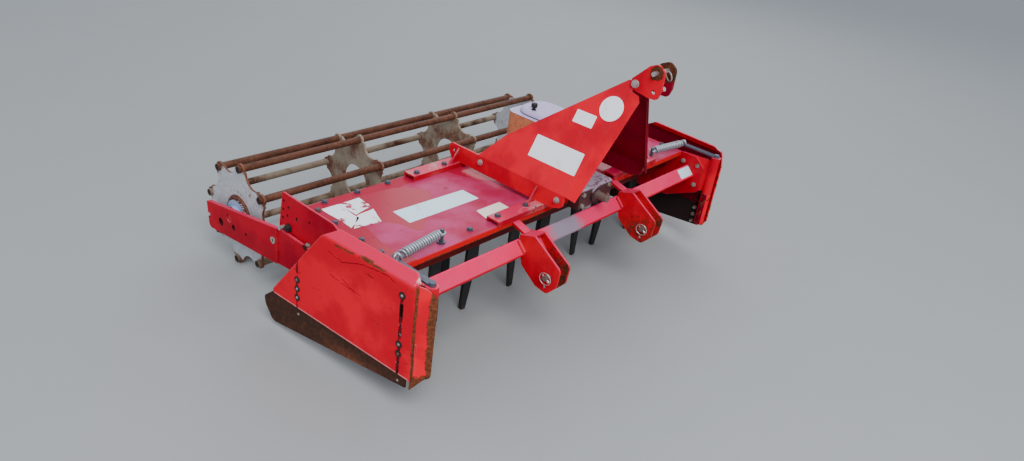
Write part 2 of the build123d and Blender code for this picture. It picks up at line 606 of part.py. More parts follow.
# Rails: inverted channels on the lid, with a gusset beside each headstock foot
rail_places = [
    # Y of the middle, Y of the gusset
    (RAIL_FRONT_Y, RAIL_FRONT_Y + RAIL_WIDTH / 4),
    (RAIL_REAR_Y, RAIL_REAR_Y - RAIL_WIDTH / 4),
]
rail_start = HEADSTOCK_X - RAIL_INNER_OFFSET - RAIL_LENGTH
with BuildPart() as rails_right:
    for rail_y, gusset_y in rail_places:
        with BuildSketch(Plane.YZ.offset(rail_start)):
            with Locations((rail_y, LID_TOP_Z + RAIL_HEIGHT / 2)):
                Rectangle(RAIL_WIDTH, RAIL_HEIGHT)
            with Locations((rail_y, LID_TOP_Z + (RAIL_HEIGHT - RAIL_WALL) / 2)):
                Rectangle(RAIL_WIDTH - 2 * RAIL_WALL, RAIL_HEIGHT - RAIL_WALL, mode=Mode.SUBTRACT)
        extrude(amount=RAIL_LENGTH)
        with BuildSketch(Plane.XZ.offset(-gusset_y)):
            with BuildLine():
                Polyline(
                    (foot_x, RAIL_TOP_Z),
                    (foot_x, HEADSTOCK_FOOT_TOP_Z - 8),
                    (foot_x - GUSSET_LENGTH, RAIL_TOP_Z),
                    close=True,
                )
            make_face()
        extrude(amount=GUSSET_THICKNESS / 2, both=True)
pieces["rails_right"] = rails_right

with BuildPart() as rails_left:
    mirror(rails_right.part, about=headstock_middle)
pieces["rails_left"] = rails_left

# Gearbox: a cast body on a flange, with rounded rear corners
gearbox_depth = GEARBOX_REAR_Y - GEARBOX_FRONT_Y
gearbox_y = (GEARBOX_REAR_Y + GEARBOX_FRONT_Y) / 2
with BuildPart() as gearbox:
    with BuildSketch(Plane.XY.offset(LID_TOP_Z)):
        with Locations((HEADSTOCK_X, gearbox_y)):
            RectangleRounded(GEARBOX_WIDTH + 2 * GEARBOX_FLANGE, gearbox_depth, GEARBOX_CORNER_RADIUS)
    extrude(amount=GEARBOX_FLANGE_HEIGHT)
    with BuildSketch(Plane.XY.offset(LID_TOP_Z)) as body_plan:
        with Locations((HEADSTOCK_X, gearbox_y)):
            Rectangle(GEARBOX_WIDTH, gearbox_depth)
        fillet(body_plan.vertices().group_by(Axis.Y)[-1], GEARBOX_CORNER_RADIUS)
    extrude(amount=GEARBOX_TOP_Z - LID_TOP_Z)
pieces["gearbox"] = gearbox

with BuildPart() as gearbox_cover:
    with BuildSketch(Plane.XY.offset(GEARBOX_TOP_Z)):
        with Locations((HEADSTOCK_X, gearbox_y)):
            RectangleRounded(
                GEARBOX_WIDTH - 2 * GEARBOX_COVER_INSET,
                gearbox_depth - 2 * GEARBOX_COVER_INSET,
                GEARBOX_COVER_RADIUS,
            )
    extrude(amount=GEARBOX_COVER_HEIGHT)
    fillet(gearbox_cover.faces().sort_by(Axis.Z)[-1].edges(), GEARBOX_CROWN_RADIUS)
pieces["gearbox_cover"] = gearbox_cover

# Input housing: from the gearbox forward over the lid's lip and down in front of it
input_profile = [
    # Y, Z, corner radius
    (GEARBOX_FRONT_Y, LID_TOP_Z, 0),
    (GEARBOX_FRONT_Y, INPUT_TOP_Z, 0),
    (INPUT_FRONT_Y, INPUT_TOP_Z, 16),
    (INPUT_FRONT_Y, INPUT_BOTTOM_Z, 8),
    (LID_FRONT_Y, INPUT_BOTTOM_Z, 0),
    (LID_FRONT_Y, LID_TOP_Z, 0),
]
with BuildPart() as input_housing:
    with BuildSketch(Plane.YZ.offset(HEADSTOCK_X - INPUT_WIDTH / 2)):
        rounded_face(input_profile)
    extrude(amount=INPUT_WIDTH)
    with BuildSketch(Plane.XZ.offset(-INPUT_FRONT_Y)):
        with Locations((HEADSTOCK_X, INPUT_SHAFT_Z)):
            Circle(INPUT_SEAL_RADIUS)
    extrude(amount=INPUT_SEAL_DEPTH)
    with BuildSketch(Plane.XZ.offset(-INPUT_FRONT_Y + INPUT_SEAL_DEPTH)):
        with Locations((HEADSTOCK_X, INPUT_SHAFT_Z)):
            Circle(INPUT_JOURNAL_RADIUS + PIN_FIT)
    extrude(amount=-INPUT_SHAFT_DEPTH, mode=Mode.SUBTRACT)
pieces["input_housing"] = input_housing

# Input shaft: a journal in the seal and a thinner stub for the tractor's driveline
journal_start = -INPUT_FRONT_Y + INPUT_SEAL_DEPTH - INPUT_SHAFT_DEPTH + RUNNING_GAP
journal_end = -INPUT_FRONT_Y + INPUT_SEAL_DEPTH + INPUT_SHOULDER
with BuildPart() as pto_shaft:
    with BuildSketch(Plane.XZ.offset(journal_start)):
        with Locations((HEADSTOCK_X, INPUT_SHAFT_Z)):
            Circle(INPUT_JOURNAL_RADIUS)
    extrude(amount=journal_end - journal_start)
    with BuildSketch(Plane.XZ.offset(journal_end)):
        with Locations((HEADSTOCK_X, INPUT_SHAFT_Z)):
            Circle(INPUT_SHAFT_RADIUS)
    extrude(amount=INPUT_SHAFT_REACH)
pieces["pto_shaft"] = pto_shaft

# Hinge brackets: a plate on the end plate and the fixed upper half of the hinge tube
with BuildPart() as hinge_bracket_right:
    with BuildSketch(Plane.YZ.offset(-END_PLATE_OUTER - BRACKET_PLATE)):
        rounded_face([
            (HINGE_Y, HINGE_SPLIT_Z + BRACKET_FOOT_RISE, 0),
            (HINGE_Y, BRACKET_TOP_Z + BRACKET_FRONT_RISE, 0),
            (BRACKET_REAR_Y, BRACKET_TOP_Z, 20),
            (BRACKET_REAR_Y, BEAM_Z, 20),
            (BEAM_Y, HINGE_SPLIT_Z, 20),
            (HINGE_Y + BRACKET_FOOT_LENGTH, HINGE_SPLIT_Z, 10),
        ])
    extrude(amount=BRACKET_PLATE)
    with BuildSketch(Plane.XY.offset(HINGE_SPLIT_Z)):
        with Locations((-HINGE_X, HINGE_Y)):
            Circle(HINGE_TUBE_RADIUS)
    extrude(amount=HINGE_TOP_Z - HINGE_SPLIT_Z)
    with BuildSketch(Plane.XY.offset(HINGE_SPLIT_Z)):
        with Locations((-HINGE_X, HINGE_Y)):
            Circle(HINGE_PIN_RADIUS + PIN_FIT)
    extrude(amount=HINGE_TOP_Z - HINGE_SPLIT_Z, mode=Mode.SUBTRACT)
pieces["hinge_bracket_right"] = hinge_bracket_right

with BuildPart() as hinge_bracket_left:
    mirror(hinge_bracket_right.part, about=Plane.YZ)
pieces["hinge_bracket_left"] = hinge_bracket_left

# Side shield: a splayed sheet, its top bent inward, with a front flange, welded to the lower
# half of the hinge tube
splay = radians(SHIELD_SPLAY)
shield_plane = Plane(
    origin=(-SHIELD_FOLD_X, SHIELD_FOLD_Y, 0),
    x_dir=(-sin(splay), cos(splay), 0),
    z_dir=(cos(splay), sin(splay), 0),
)
shield_end = Plane(origin=shield_plane.origin, x_dir=shield_plane.z_dir, z_dir=-shield_plane.x_dir)
lip_turn = radians(SHIELD_LIP_ANGLE)
lip_inset = (SHIELD_TOP_Z - SHIELD_BEND_Z) * tan(lip_turn)
lip_profile = [
    # inward from the outer face, Z, corner radius
    (0, SHIELD_BOTTOM_Z, 0),
    (0, SHIELD_BEND_Z, SHIELD_BEND_RADIUS + SHIELD_SHEET),
    (lip_inset, SHIELD_TOP_Z, 0),
    (lip_inset + SHIELD_SHEET * cos(lip_turn), SHIELD_TOP_Z - SHIELD_SHEET * sin(lip_turn), 0),
    (SHIELD_SHEET, SHIELD_BEND_Z - SHIELD_SHEET * tan(lip_turn / 2), SHIELD_BEND_RADIUS),
    (SHIELD_SHEET, SHIELD_BOTTOM_Z, 0),
]
flange_heading = radians(SHIELD_FLANGE_ANGLE)
shield_flange_plane = Plane(
    origin=(-SHIELD_FOLD_X, SHIELD_FOLD_Y, 0),
    x_dir=(sin(flange_heading), -cos(flange_heading), 0),
    z_dir=(-cos(flange_heading), -sin(flange_heading), 0),
)
shield_outline = [
    # distance behind the fold, Z, corner radius
    (0, SHIELD_BOTTOM_Z, 0),
    (0, SHIELD_FLANGE_TOP_Z, 0),
    (34, SHIELD_TOP_Z, 20),
    (SHIELD_TOP_LENGTH, SHIELD_TOP_Z, 40),
    (SHIELD_SHOULDER_LENGTH, SHIELD_TOP_Z - SHIELD_SHOULDER_DROP, 50),
    (SHIELD_LENGTH, SHIELD_BOTTOM_Z, 12),
]
flange_outline = [
    # distance inward from the fold, Z, corner radius
    (0, SHIELD_FLANGE_BOTTOM_Z, 0),
    (0, SHIELD_FLANGE_TOP_Z, 0),
    (SHIELD_FLANGE_WIDTH / 2, SHIELD_FLANGE_TOP_Z - 14, 20),
    (SHIELD_FLANGE_WIDTH, SHIELD_FLANGE_TOP_Z - 52, 16),
    (SHIELD_FLANGE_WIDTH, SHIELD_FLANGE_BOTTOM_Z + 66, 14),
]
wear_outline = [
    # distance behind the fold, Z, corner radius
    (WEAR_TOE_GAP, SHIELD_BOTTOM_Z - WEAR_TOE_DROP, 10),
    (WEAR_TOE_GAP, SHIELD_BOTTOM_Z + SHIELD_WEAR_OVERLAP, 0),
    (SHIELD_LENGTH - WEAR_TOP_SETBACK, SHIELD_BOTTOM_Z + SHIELD_WEAR_OVERLAP, 0),
    (SHIELD_LENGTH + WEAR_HEEL_REACH, SHIELD_BOTTOM_Z - WEAR_HEEL_DROP / 3, 22),
    (SHIELD_LENGTH + WEAR_HEEL_REACH * 0.85, SHIELD_BOTTOM_Z - WEAR_HEEL_DROP / 3 - WEAR_HEEL_RISE, 30),
    (SHIELD_LENGTH - WEAR_TOE_GAP, SHIELD_BOTTOM_Z - WEAR_HEEL_DROP, 34),
]
hole_columns = [
    # distance behind the fold, rows of holes in the panel
    (60.0, (0, 1, 2, 3, 4, 5, 8)),
    (591.0, (1, 2, 3)),
]
wear_rows = (-1, 0, 1)
with BuildPart() as shield_right:
    with BuildSketch(shield_end):
        rounded_face(lip_profile)
    extrude(amount=-SHIELD_LENGTH)
    with BuildSketch(shield_plane):
        rounded_face(shield_outline)
        for distance, rows in hole_columns:
            with Locations(*[(distance, SHIELD_HOLE_Z + row * SHIELD_HOLE_PITCH) for row in rows]):
                Circle(SHIELD_HOLE_RADIUS, mode=Mode.SUBTRACT)
        slot_z = SHIELD_HOLE_Z + SHIELD_SLOT_ROW * SHIELD_HOLE_PITCH
        with Locations(Location((hole_columns[0][0], slot_z), 90)):
            SlotCenterToCenter(SHIELD_HOLE_PITCH, 2 * SHIELD_HOLE_RADIUS, mode=Mode.SUBTRACT)
    extrude(amount=SHIELD_FLANGE_WIDTH, mode=Mode.INTERSECT)
    with BuildSketch(shield_flange_plane):
        rounded_face(flange_outline)
    extrude(amount=-SHIELD_SHEET)
    with BuildSketch(Plane.XY.offset(SHIELD_BOTTOM_Z)):
        with Locations((-HINGE_X, HINGE_Y)):
            Circle(HINGE_TUBE_RADIUS)
    extrude(amount=HINGE_SPLIT_Z - RUNNING_GAP - SHIELD_BOTTOM_Z)
    with BuildSketch(Plane.XZ.offset(-HINGE_Y - HINGE_WEB_THICKNESS / 2)):
        with Locations((-HINGE_X, (HINGE_SPLIT_Z + SHIELD_BOTTOM_Z) / 2)):
            Rectangle(
                SHIELD_FOLD_X - SHIELD_SHEET / 2 - HINGE_X,
                HINGE_SPLIT_Z - SHIELD_BOTTOM_Z - HINGE_WEB_MARGIN,
                align=(Align.MAX, Align.CENTER),
            )
    extrude(amount=HINGE_WEB_THICKNESS)
    with BuildSketch(Plane.XY.offset(SHIELD_BOTTOM_Z)):
        with Locations((-HINGE_X, HINGE_Y)):
            Circle(HINGE_PIN_RADIUS + PIN_FIT)
    extrude(amount=HINGE_SPLIT_Z - SHIELD_BOTTOM_Z, mode=Mode.SUBTRACT)
pieces["shield_right"] = shield_right

with BuildPart() as shield_left:
    mirror(shield_right.part, about=Plane.YZ)
pieces["shield_left"] = shield_left

with BuildPart() as wear_plate_right:
    with BuildSketch(shield_plane.offset(SHIELD_SHEET)):
        rounded_face(wear_outline)
        for distance, _rows in hole_columns:
            with Locations(*[(distance, SHIELD_HOLE_Z + row * SHIELD_HOLE_PITCH) for row in wear_rows]):
                Circle(SHIELD_HOLE_RADIUS, mode=Mode.SUBTRACT)
    extrude(amount=SHIELD_WEAR_PLATE)
    with BuildSketch(Plane.XY):
        with Locations((-HINGE_X, HINGE_Y)):
            Rectangle(2 * (SHIELD_FOLD_X - HINGE_X), 2 * (HINGE_TUBE_RADIUS + SHIELD_SHEET))
    extrude(amount=SHIELD_TOP_Z, mode=Mode.SUBTRACT)
pieces["wear_plate_right"] = wear_plate_right

with BuildPart() as wear_plate_left:
    mirror(wear_plate_right.part, about=Plane.YZ)
pieces["wear_plate_left"] = wear_plate_left

# Shield lever: the hinge pin with a flat bar on top that the return spring pulls
lever_z = HINGE_TOP_Z + RUNNING_GAP
lever_end_y = HINGE_Y + LEVER_LENGTH
with BuildPart() as shield_lever_right:
    with BuildSketch(Plane.XY.offset(SHIELD_BOTTOM_Z)):
        with Locations((-HINGE_X, HINGE_Y)):
            Circle(HINGE_PIN_RADIUS)
    extrude(amount=lever_z + LEVER_THICKNESS + HINGE_PIN_TIP - SHIELD_BOTTOM_Z)
    with BuildSketch(Plane.XY.offset(lever_z)):
        with Locations(Location((-HINGE_X, HINGE_Y + LEVER_LENGTH / 2), 90)):
            SlotCenterToCenter(LEVER_LENGTH, LEVER_WIDTH)
        with Locations((-HINGE_X, lever_end_y)):
            Circle(SPRING_HOOK_RADIUS + 1, mode=Mode.SUBTRACT)
    extrude(amount=LEVER_THICKNESS)
pieces["shield_lever_right"] = shield_lever_right

with BuildPart() as shield_lever_left:
    mirror(shield_lever_right.part, about=Plane.YZ)
pieces["shield_lever_left"] = shield_lever_left

# Return springs, each from its post on the lid to the lever
with BuildPart() as spring_posts:
    for side in (-1, 1):
        with BuildSketch(Plane.XY.offset(LID_TOP_Z)):
            with Locations((side * SPRING_POST_X, SPRING_POST_Y)):
                Circle(SPRING_POST_COLLAR)
        extrude(amount=SPRING_POST_COLLAR_HEIGHT)
        with BuildSketch(Plane.XY.offset(LID_TOP_Z)):
            with Locations((side * SPRING_POST_X, SPRING_POST_Y)):
                Circle(SPRING_POST_RADIUS)
        extrude(amount=SPRING_Z + SPRING_POST_RISE - LID_TOP_Z)
pieces["spring_posts"] = spring_posts

lever_eye = Vector(-HINGE_X, lever_end_y, SPRING_Z)
post_side = Vector(-SPRING_POST_X - SPRING_POST_RADIUS - RUNNING_GAP, SPRING_POST_Y, SPRING_Z)
spring_run = lever_eye - post_side
spring_plane = Plane(origin=post_side, z_dir=spring_run)
with BuildPart() as spring_right:
    with BuildSketch(spring_plane.offset(SPRING_HOOK_RADIUS)):
        Circle(SPRING_HOOK_RADIUS)
    extrude(amount=spring_run.length - SPRING_HOOK_LENGTH / 2)
    with BuildSketch(spring_plane.offset(SPRING_HOOK_LENGTH)):
        Circle(SPRING_RADIUS)
    extrude(amount=spring_run.length - 2 * SPRING_HOOK_LENGTH - 2 * SPRING_HOOK_RADIUS)
pieces["spring_right"] = spring_right

with BuildPart() as spring_left:
    mirror(spring_right.part, about=Plane.YZ)
pieces["spring_left"] = spring_left

# Roller arms: a front plate and a rear plate lapped over it, with a bearing boss inside
arm_outline = [
    # Y, Z, corner radius
    (ARM_PIVOT_Y - ARM_EYE_RADIUS, ARM_PIVOT_Z - ARM_EYE_RADIUS, ARM_EYE_RADIUS * 0.8),
    (ARM_PIVOT_Y - ARM_EYE_RADIUS, ARM_TOP_Z, ARM_EYE_RADIUS * 0.8),
    (ARM_BEND_Y, ARM_TOP_Z, 60),
    (ARM_REAR_Y, ARM_REAR_TOP_Z, 4),
    (ARM_REAR_Y - ARM_TAIL_SLANT, ARM_REAR_TOP_Z - ARM_TAIL_DEPTH, 22),
    (ARM_REAR_Y - ARM_HEEL_SETBACK, ARM_REAR_TOP_Z - ARM_HEEL_DEPTH, 16),
    (ARM_BELLY_Y, ARM_BELLY_Z, 60),
]
arm_holes = [
    # Y, Z, radius
    (698, 193, 11),
    (600, 201, 17),
    (499, 217, 12),
    (402, 228, 6),
    (202, 296, 8),
]
with BuildPart() as roller_arm_right:
    with BuildSketch(Plane.YZ.offset(-ARM_OUTER)):
        rounded_face(arm_outline)
        for hole_y, hole_z, hole_radius in arm_holes:
            with Locations((hole_y, hole_z)):
                Circle(hole_radius, mode=Mode.SUBTRACT)
        with Locations((ARM_PIVOT_Y, ARM_PIVOT_Z)):
            Circle(ARM_PIVOT_RADIUS - PIN_FIT, mode=Mode.SUBTRACT)
    extrude(amount=ARM_PLATE)
    with BuildSketch(Plane.YZ.offset(-ARM_OUTER)):
        rounded_face(arm_outline)
        for hole_y, hole_z, hole_radius in arm_holes:
            with Locations((hole_y, hole_z)):
                Circle(hole_radius, mode=Mode.SUBTRACT)
        with Locations((ARM_LAP_Y, ARM_PIVOT_Z)):
            Rectangle(ROLLER_Y - ARM_PIVOT_Y, ROLLER_Y - ARM_PIVOT_Y, align=(Align.MAX, Align.CENTER),
                      mode=Mode.SUBTRACT)
    extrude(amount=-ARM_LAP_PLATE)
    with BuildSketch(Plane.YZ.offset(-ARM_INNER)):
        with Locations((ROLLER_Y, ROLLER_Z)):
            Circle(ROLLER_BEARING_RADIUS)
    extrude(amount=ROLLER_BOSS_REACH)
    with BuildSketch(Plane.YZ.offset(-ARM_OUTER - ARM_LAP_PLATE)):
        with Locations((ROLLER_Y, ROLLER_Z)):
            Circle(ROLLER_STUB_RADIUS + PIN_FIT)
    extrude(amount=ARM_LAP_PLATE + ARM_PLATE + ROLLER_BOSS_REACH, mode=Mode.SUBTRACT)
pieces["roller_arm_right"] = roller_arm_right

with BuildPart() as roller_arm_left:
    mirror(roller_arm_right.part, about=Plane.YZ)
pieces["roller_arm_left"] = roller_arm_left

# Arm pivots: shouldered pins through the end plates
with BuildPart() as arm_pivot_pins:
    for side in (-1, 1):
        with BuildSketch(Plane.YZ.offset(side * (TROUGH_HALF - PIVOT_HEAD))):
            with Locations((ARM_PIVOT_Y, ARM_PIVOT_Z)):
                Circle(PIVOT_COLLAR_RADIUS)
        extrude(amount=side * PIVOT_HEAD)
        with BuildSketch(Plane.YZ.offset(side * TROUGH_HALF)):
            with Locations((ARM_PIVOT_Y, ARM_PIVOT_Z)):
                Circle(ARM_PIVOT_RADIUS - 2 * PIN_FIT)
        extrude(amount=side * (ARM_OUTER - TROUGH_HALF + RUNNING_GAP))
        with BuildSketch(Plane.YZ.offset(side * END_PLATE_OUTER)):
            with Locations((ARM_PIVOT_Y, ARM_PIVOT_Z)):
                Circle(PIVOT_COLLAR_RADIUS)
        extrude(amount=side * (ARM_GAP - RUNNING_GAP))
        with BuildSketch(Plane.YZ.offset(side * (ARM_OUTER + RUNNING_GAP))):
            with Locations((ARM_PIVOT_Y, ARM_PIVOT_Z)):
                Circle(PIVOT_COLLAR_RADIUS)
        extrude(amount=side * PIVOT_COLLAR)
pieces["arm_pivot_pins"] = arm_pivot_pins

# Depth stops: pins through the lowest sector holes, over the arms
with BuildPart() as depth_stops:
    for side in (-1, 1):
        with BuildSketch(Plane.YZ.offset(side * (TROUGH_HALF - STOP_PIN_TAIL))):
            with Locations((STOP_PIN_Y, STOP_PIN_Z)):
                Circle(STOP_PIN_RADIUS)
        extrude(amount=side * (ARM_OUTER - TROUGH_HALF + STOP_PIN_REACH))
pieces["depth_stops"] = depth_stops

# Cage roller: bars through scalloped discs
disc_places = [-ROLLER_OUTER_DISC_X, -ROLLER_INNER_DISC_X, ROLLER_INNER_DISC_X, ROLLER_OUTER_DISC_X]


def around_roller(radius, angle):
    """Y and Z of a place on a circle about the roller's axis, angle from the top to the rear."""
    return (ROLLER_Y + radius * sin(radians(angle)), ROLLER_Z + radius * cos(radians(angle)))


half_step = 180 / ROLLER_BAR_COUNT
bar_places = [around_roller(ROLLER_BAR_CIRCLE, angle) for angle in bar_angles]
scallop_places = [around_roller(ROLLER_SCALLOP_CIRCLE, angle + half_step) for angle in bar_angles]
with BuildPart() as roller_discs:
    for disc_x in disc_places:
        outer = abs(disc_x) == ROLLER_OUTER_DISC_X
        with BuildSketch(Plane.YZ.offset(disc_x - ROLLER_DISC_THICKNESS / 2)):
            with Locations((ROLLER_Y, ROLLER_Z)):
                Circle(ROLLER_BAR_CIRCLE)
            with Locations(*scallop_places):
                Circle(ROLLER_SCALLOP_RADIUS, mode=Mode.SUBTRACT)
            with Locations(*bar_places):
                Circle(ROLLER_LOBE_RADIUS)
                Circle(ROLLER_BAR_RADIUS + PIN_FIT, mode=Mode.SUBTRACT)
            if not outer:
                with Locations((ROLLER_Y, ROLLER_Z)):
                    Circle(ROLLER_INNER_HOLE, mode=Mode.SUBTRACT)
        extrude(amount=ROLLER_DISC_THICKNESS)
    for side in (-1, 1):
        with BuildSketch(Plane.YZ.offset(side * (ROLLER_OUTER_DISC_X + ROLLER_DISC_THICKNESS / 2))):
            with Locations((ROLLER_Y, ROLLER_Z)):
                Circle(ROLLER_HUB_RADIUS)
        extrude(amount=side * ROLLER_HUB_THICKNESS)
        with BuildSketch(Plane.YZ.offset(side * (ROLLER_OUTER_DISC_X + ROLLER_DISC_THICKNESS / 2))):
            with Locations((ROLLER_Y, ROLLER_Z)):
                Circle(ROLLER_RING_RADIUS)
                Circle(ROLLER_RING_RADIUS - ROLLER_RING_WIDTH, mode=Mode.SUBTRACT)
        extrude(amount=side * ROLLER_RING_THICKNESS)
        with BuildSketch(Plane.YZ.offset(side * ROLLER_OUTER_DISC_X)):
            with Locations((ROLLER_Y, ROLLER_Z)):
                Circle(ROLLER_STUB_RADIUS)
        extrude(amount=side * (ARM_OUTER - ROLLER_OUTER_DISC_X))
pieces["roller_discs"] = roller_discs

bar_half = ROLLER_OUTER_DISC_X + ROLLER_DISC_THICKNESS / 2 + ROLLER_BAR_OVERHANG
with BuildPart() as roller_bars:
    with BuildSketch(Plane.YZ.offset(-bar_half)):
        with Locations(*bar_places):
            Circle(ROLLER_BAR_RADIUS)
    extrude(amount=2 * bar_half)
pieces["roller_bars"] = roller_bars

# Rotors: shaft, flange, a forged holder and two knife tines, each turned on from its neighbour
tine_outline = [
    # across the blade, Z, corner radius
    (-TINE_WIDTH / 2, HOLDER_TOP_Z, 0),
    (-TINE_WIDTH / 2, HOLDER_BOTTOM_Z - TINE_BACK_REACH, 120),
    (-TINE_TIP_WIDTH / 2 + TINE_TRAIL, 0, 0),
    (TINE_TIP_WIDTH / 2 + TINE_TRAIL, 0, 8),
    (TINE_WIDTH / 2, HOLDER_BOTTOM_Z - TINE_FRONT_REACH, 160),
    (TINE_WIDTH / 2, HOLDER_TOP_Z, 0),
]
with BuildPart() as blade:
    with BuildSketch(Plane(origin=(TINE_ORBIT_RADIUS, 0, 0), x_dir=(0, -1, 0), z_dir=(-1, 0, 0))):
        rounded_face(tine_outline)
    extrude(amount=TINE_THICKNESS / 2, both=True)
    cutting_faces = blade.faces().filter_by(lambda face: face.normal_at().Y > 0.5)
    cutting_edges = cutting_faces.edges().filter_by(
        lambda edge: abs(edge.center().X - TINE_ORBIT_RADIUS) > TINE_THICKNESS / 2 - PIN_FIT
    )
    chamfer(cutting_edges, TINE_BEVEL)
with BuildPart() as opposite_blade:
    mirror(blade.part, about=Plane.XZ)

socket_length = TINE_THICKNESS + TINE_SOCKET_WALL
socket_width = TINE_WIDTH + TINE_SOCKET_WALL
for index, rotor_place in enumerate(rotor_x):
    spin = 1 if index % 2 == 0 else -1
    turn = TIMED_HEADING - spin * TINE_SWING
    with BuildPart() as rotor:
        with BuildSketch(Plane.XY.offset(FLANGE_TOP_Z)):
            with Locations((rotor_place, ROTOR_ROW_Y)):
                Circle(ROTOR_SHAFT_RADIUS)
        extrude(amount=ROTOR_SHAFT_DEPTH)
        with BuildSketch(Plane.XY.offset(HOLDER_TOP_Z)):
            with Locations((rotor_place, ROTOR_ROW_Y)):
                Circle(ROTOR_FLANGE_RADIUS)
        extrude(amount=ROTOR_FLANGE_THICKNESS)
        with BuildSketch(Plane.XY.offset(HOLDER_BOTTOM_Z)):
            with Locations(Location((rotor_place, ROTOR_ROW_Y), turn)):
                Rectangle(2 * TINE_ORBIT_RADIUS, HOLDER_NECK)
            with Locations((rotor_place, ROTOR_ROW_Y)):
                with PolarLocations(TINE_ORBIT_RADIUS - TINE_SOCKET_WALL / 2, 2, turn):
                    RectangleRounded(socket_length, socket_width, SOCKET_CORNER_RADIUS)
        extrude(amount=HOLDER_HEIGHT)
        for half_turn in (0, 180):
            with Locations(Location((rotor_place, ROTOR_ROW_Y, 0), (0, 0, turn + half_turn))):
                add(blade.part if spin > 0 else opposite_blade.part)
    pieces[f"rotor_{index + 1}"] = rotor

for label, builder in pieces.items():
    builder.part.label = label
    export_step(builder.part, f"parts/{label}.step")
print(len(pieces), "pieces")
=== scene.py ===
"""Looks of the power harrow: finishes, fasteners, springs, blank labels, floor, light and camera."""
from functools import reduce
from math import cos, pi, radians, sin

import bmesh
import bpy
from mathutils import Matrix, Vector


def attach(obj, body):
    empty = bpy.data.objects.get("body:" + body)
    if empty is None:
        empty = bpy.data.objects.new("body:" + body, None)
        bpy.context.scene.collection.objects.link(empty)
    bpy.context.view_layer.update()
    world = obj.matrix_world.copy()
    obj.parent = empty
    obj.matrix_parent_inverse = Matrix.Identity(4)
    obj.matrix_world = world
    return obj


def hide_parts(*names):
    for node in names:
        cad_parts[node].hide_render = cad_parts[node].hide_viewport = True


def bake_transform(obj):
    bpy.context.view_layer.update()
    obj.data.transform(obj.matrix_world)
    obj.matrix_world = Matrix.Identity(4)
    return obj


bl_info = {
    "name": "Power harrow looks",
    "version": (1, 0, 0),
    "blender": (4, 5, 0),
    "location": "3D View > Sidebar > Harrow",
    "description": "Finishes, fasteners, springs and labels of a rotary power harrow",
    "category": "Object",
}

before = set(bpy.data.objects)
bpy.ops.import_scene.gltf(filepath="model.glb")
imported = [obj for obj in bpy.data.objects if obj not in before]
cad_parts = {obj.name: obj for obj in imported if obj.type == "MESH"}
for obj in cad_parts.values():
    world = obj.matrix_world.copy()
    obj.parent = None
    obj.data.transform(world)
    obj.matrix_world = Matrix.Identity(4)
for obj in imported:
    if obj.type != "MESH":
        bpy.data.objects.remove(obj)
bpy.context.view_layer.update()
MM = 0.001
BUMP_STRENGTH = 0.6
BEVEL_SAMPLES = 6


# Shader maths


class Wire:
    """A socket of one finish that takes Python's operators as Math nodes."""

    def __init__(self, finish, socket):
        self.finish = finish
        self.socket = socket

    def math(self, operation, *others, clamp=False):
        """Math node on this value and the others."""
        node = self.finish.node("ShaderNodeMath", {"operation": operation, "use_clamp": clamp})
        for socket, value in zip(node.inputs, (self, *others)):
            self.finish.feed(socket, value)
        return Wire(self.finish, node.outputs[0])

    def __add__(self, other):
        return self.math("ADD", other)

    __radd__ = __add__

    def __mul__(self, other):
        return self.math("MULTIPLY", other)

    __rmul__ = __mul__

    def __sub__(self, other):
        return self.math("SUBTRACT", other)

    def __rsub__(self, other):
        return (self * -1) + other

    def __pow__(self, other):
        return self.math("POWER", other)

    def __gt__(self, other):
        return self.math("GREATER_THAN", other)

    def __lt__(self, other):
        return self.math("LESS_THAN", other)

    def clamp(self):
        """This value held between 0 and 1."""
        return self.math("ADD", 0.0, clamp=True)

    def smooth(self, low, high):
        """0 below low, 1 above high and a smooth step between."""
        node = self.finish.node("ShaderNodeMapRange", {"interpolation_type": "SMOOTHSTEP"})
        for name, value in (("Value", self), ("From Min", low), ("From Max", high)):
            self.finish.feed(node.inputs[name], value)
        return Wire(self.finish, node.outputs["Result"])

    def fade(self, low, high):
        """1 below low, 0 above high and a smooth step between."""
        return 1 - self.smooth(low, high)

    def size(self):
        """This value without its sign."""
        return self.math("ABSOLUTE")

    def least(self, other):
        """The smaller of two values."""
        return self.math("MINIMUM", other)

    def most(self, other):
        """The larger of two values."""
        return self.math("MAXIMUM", other)


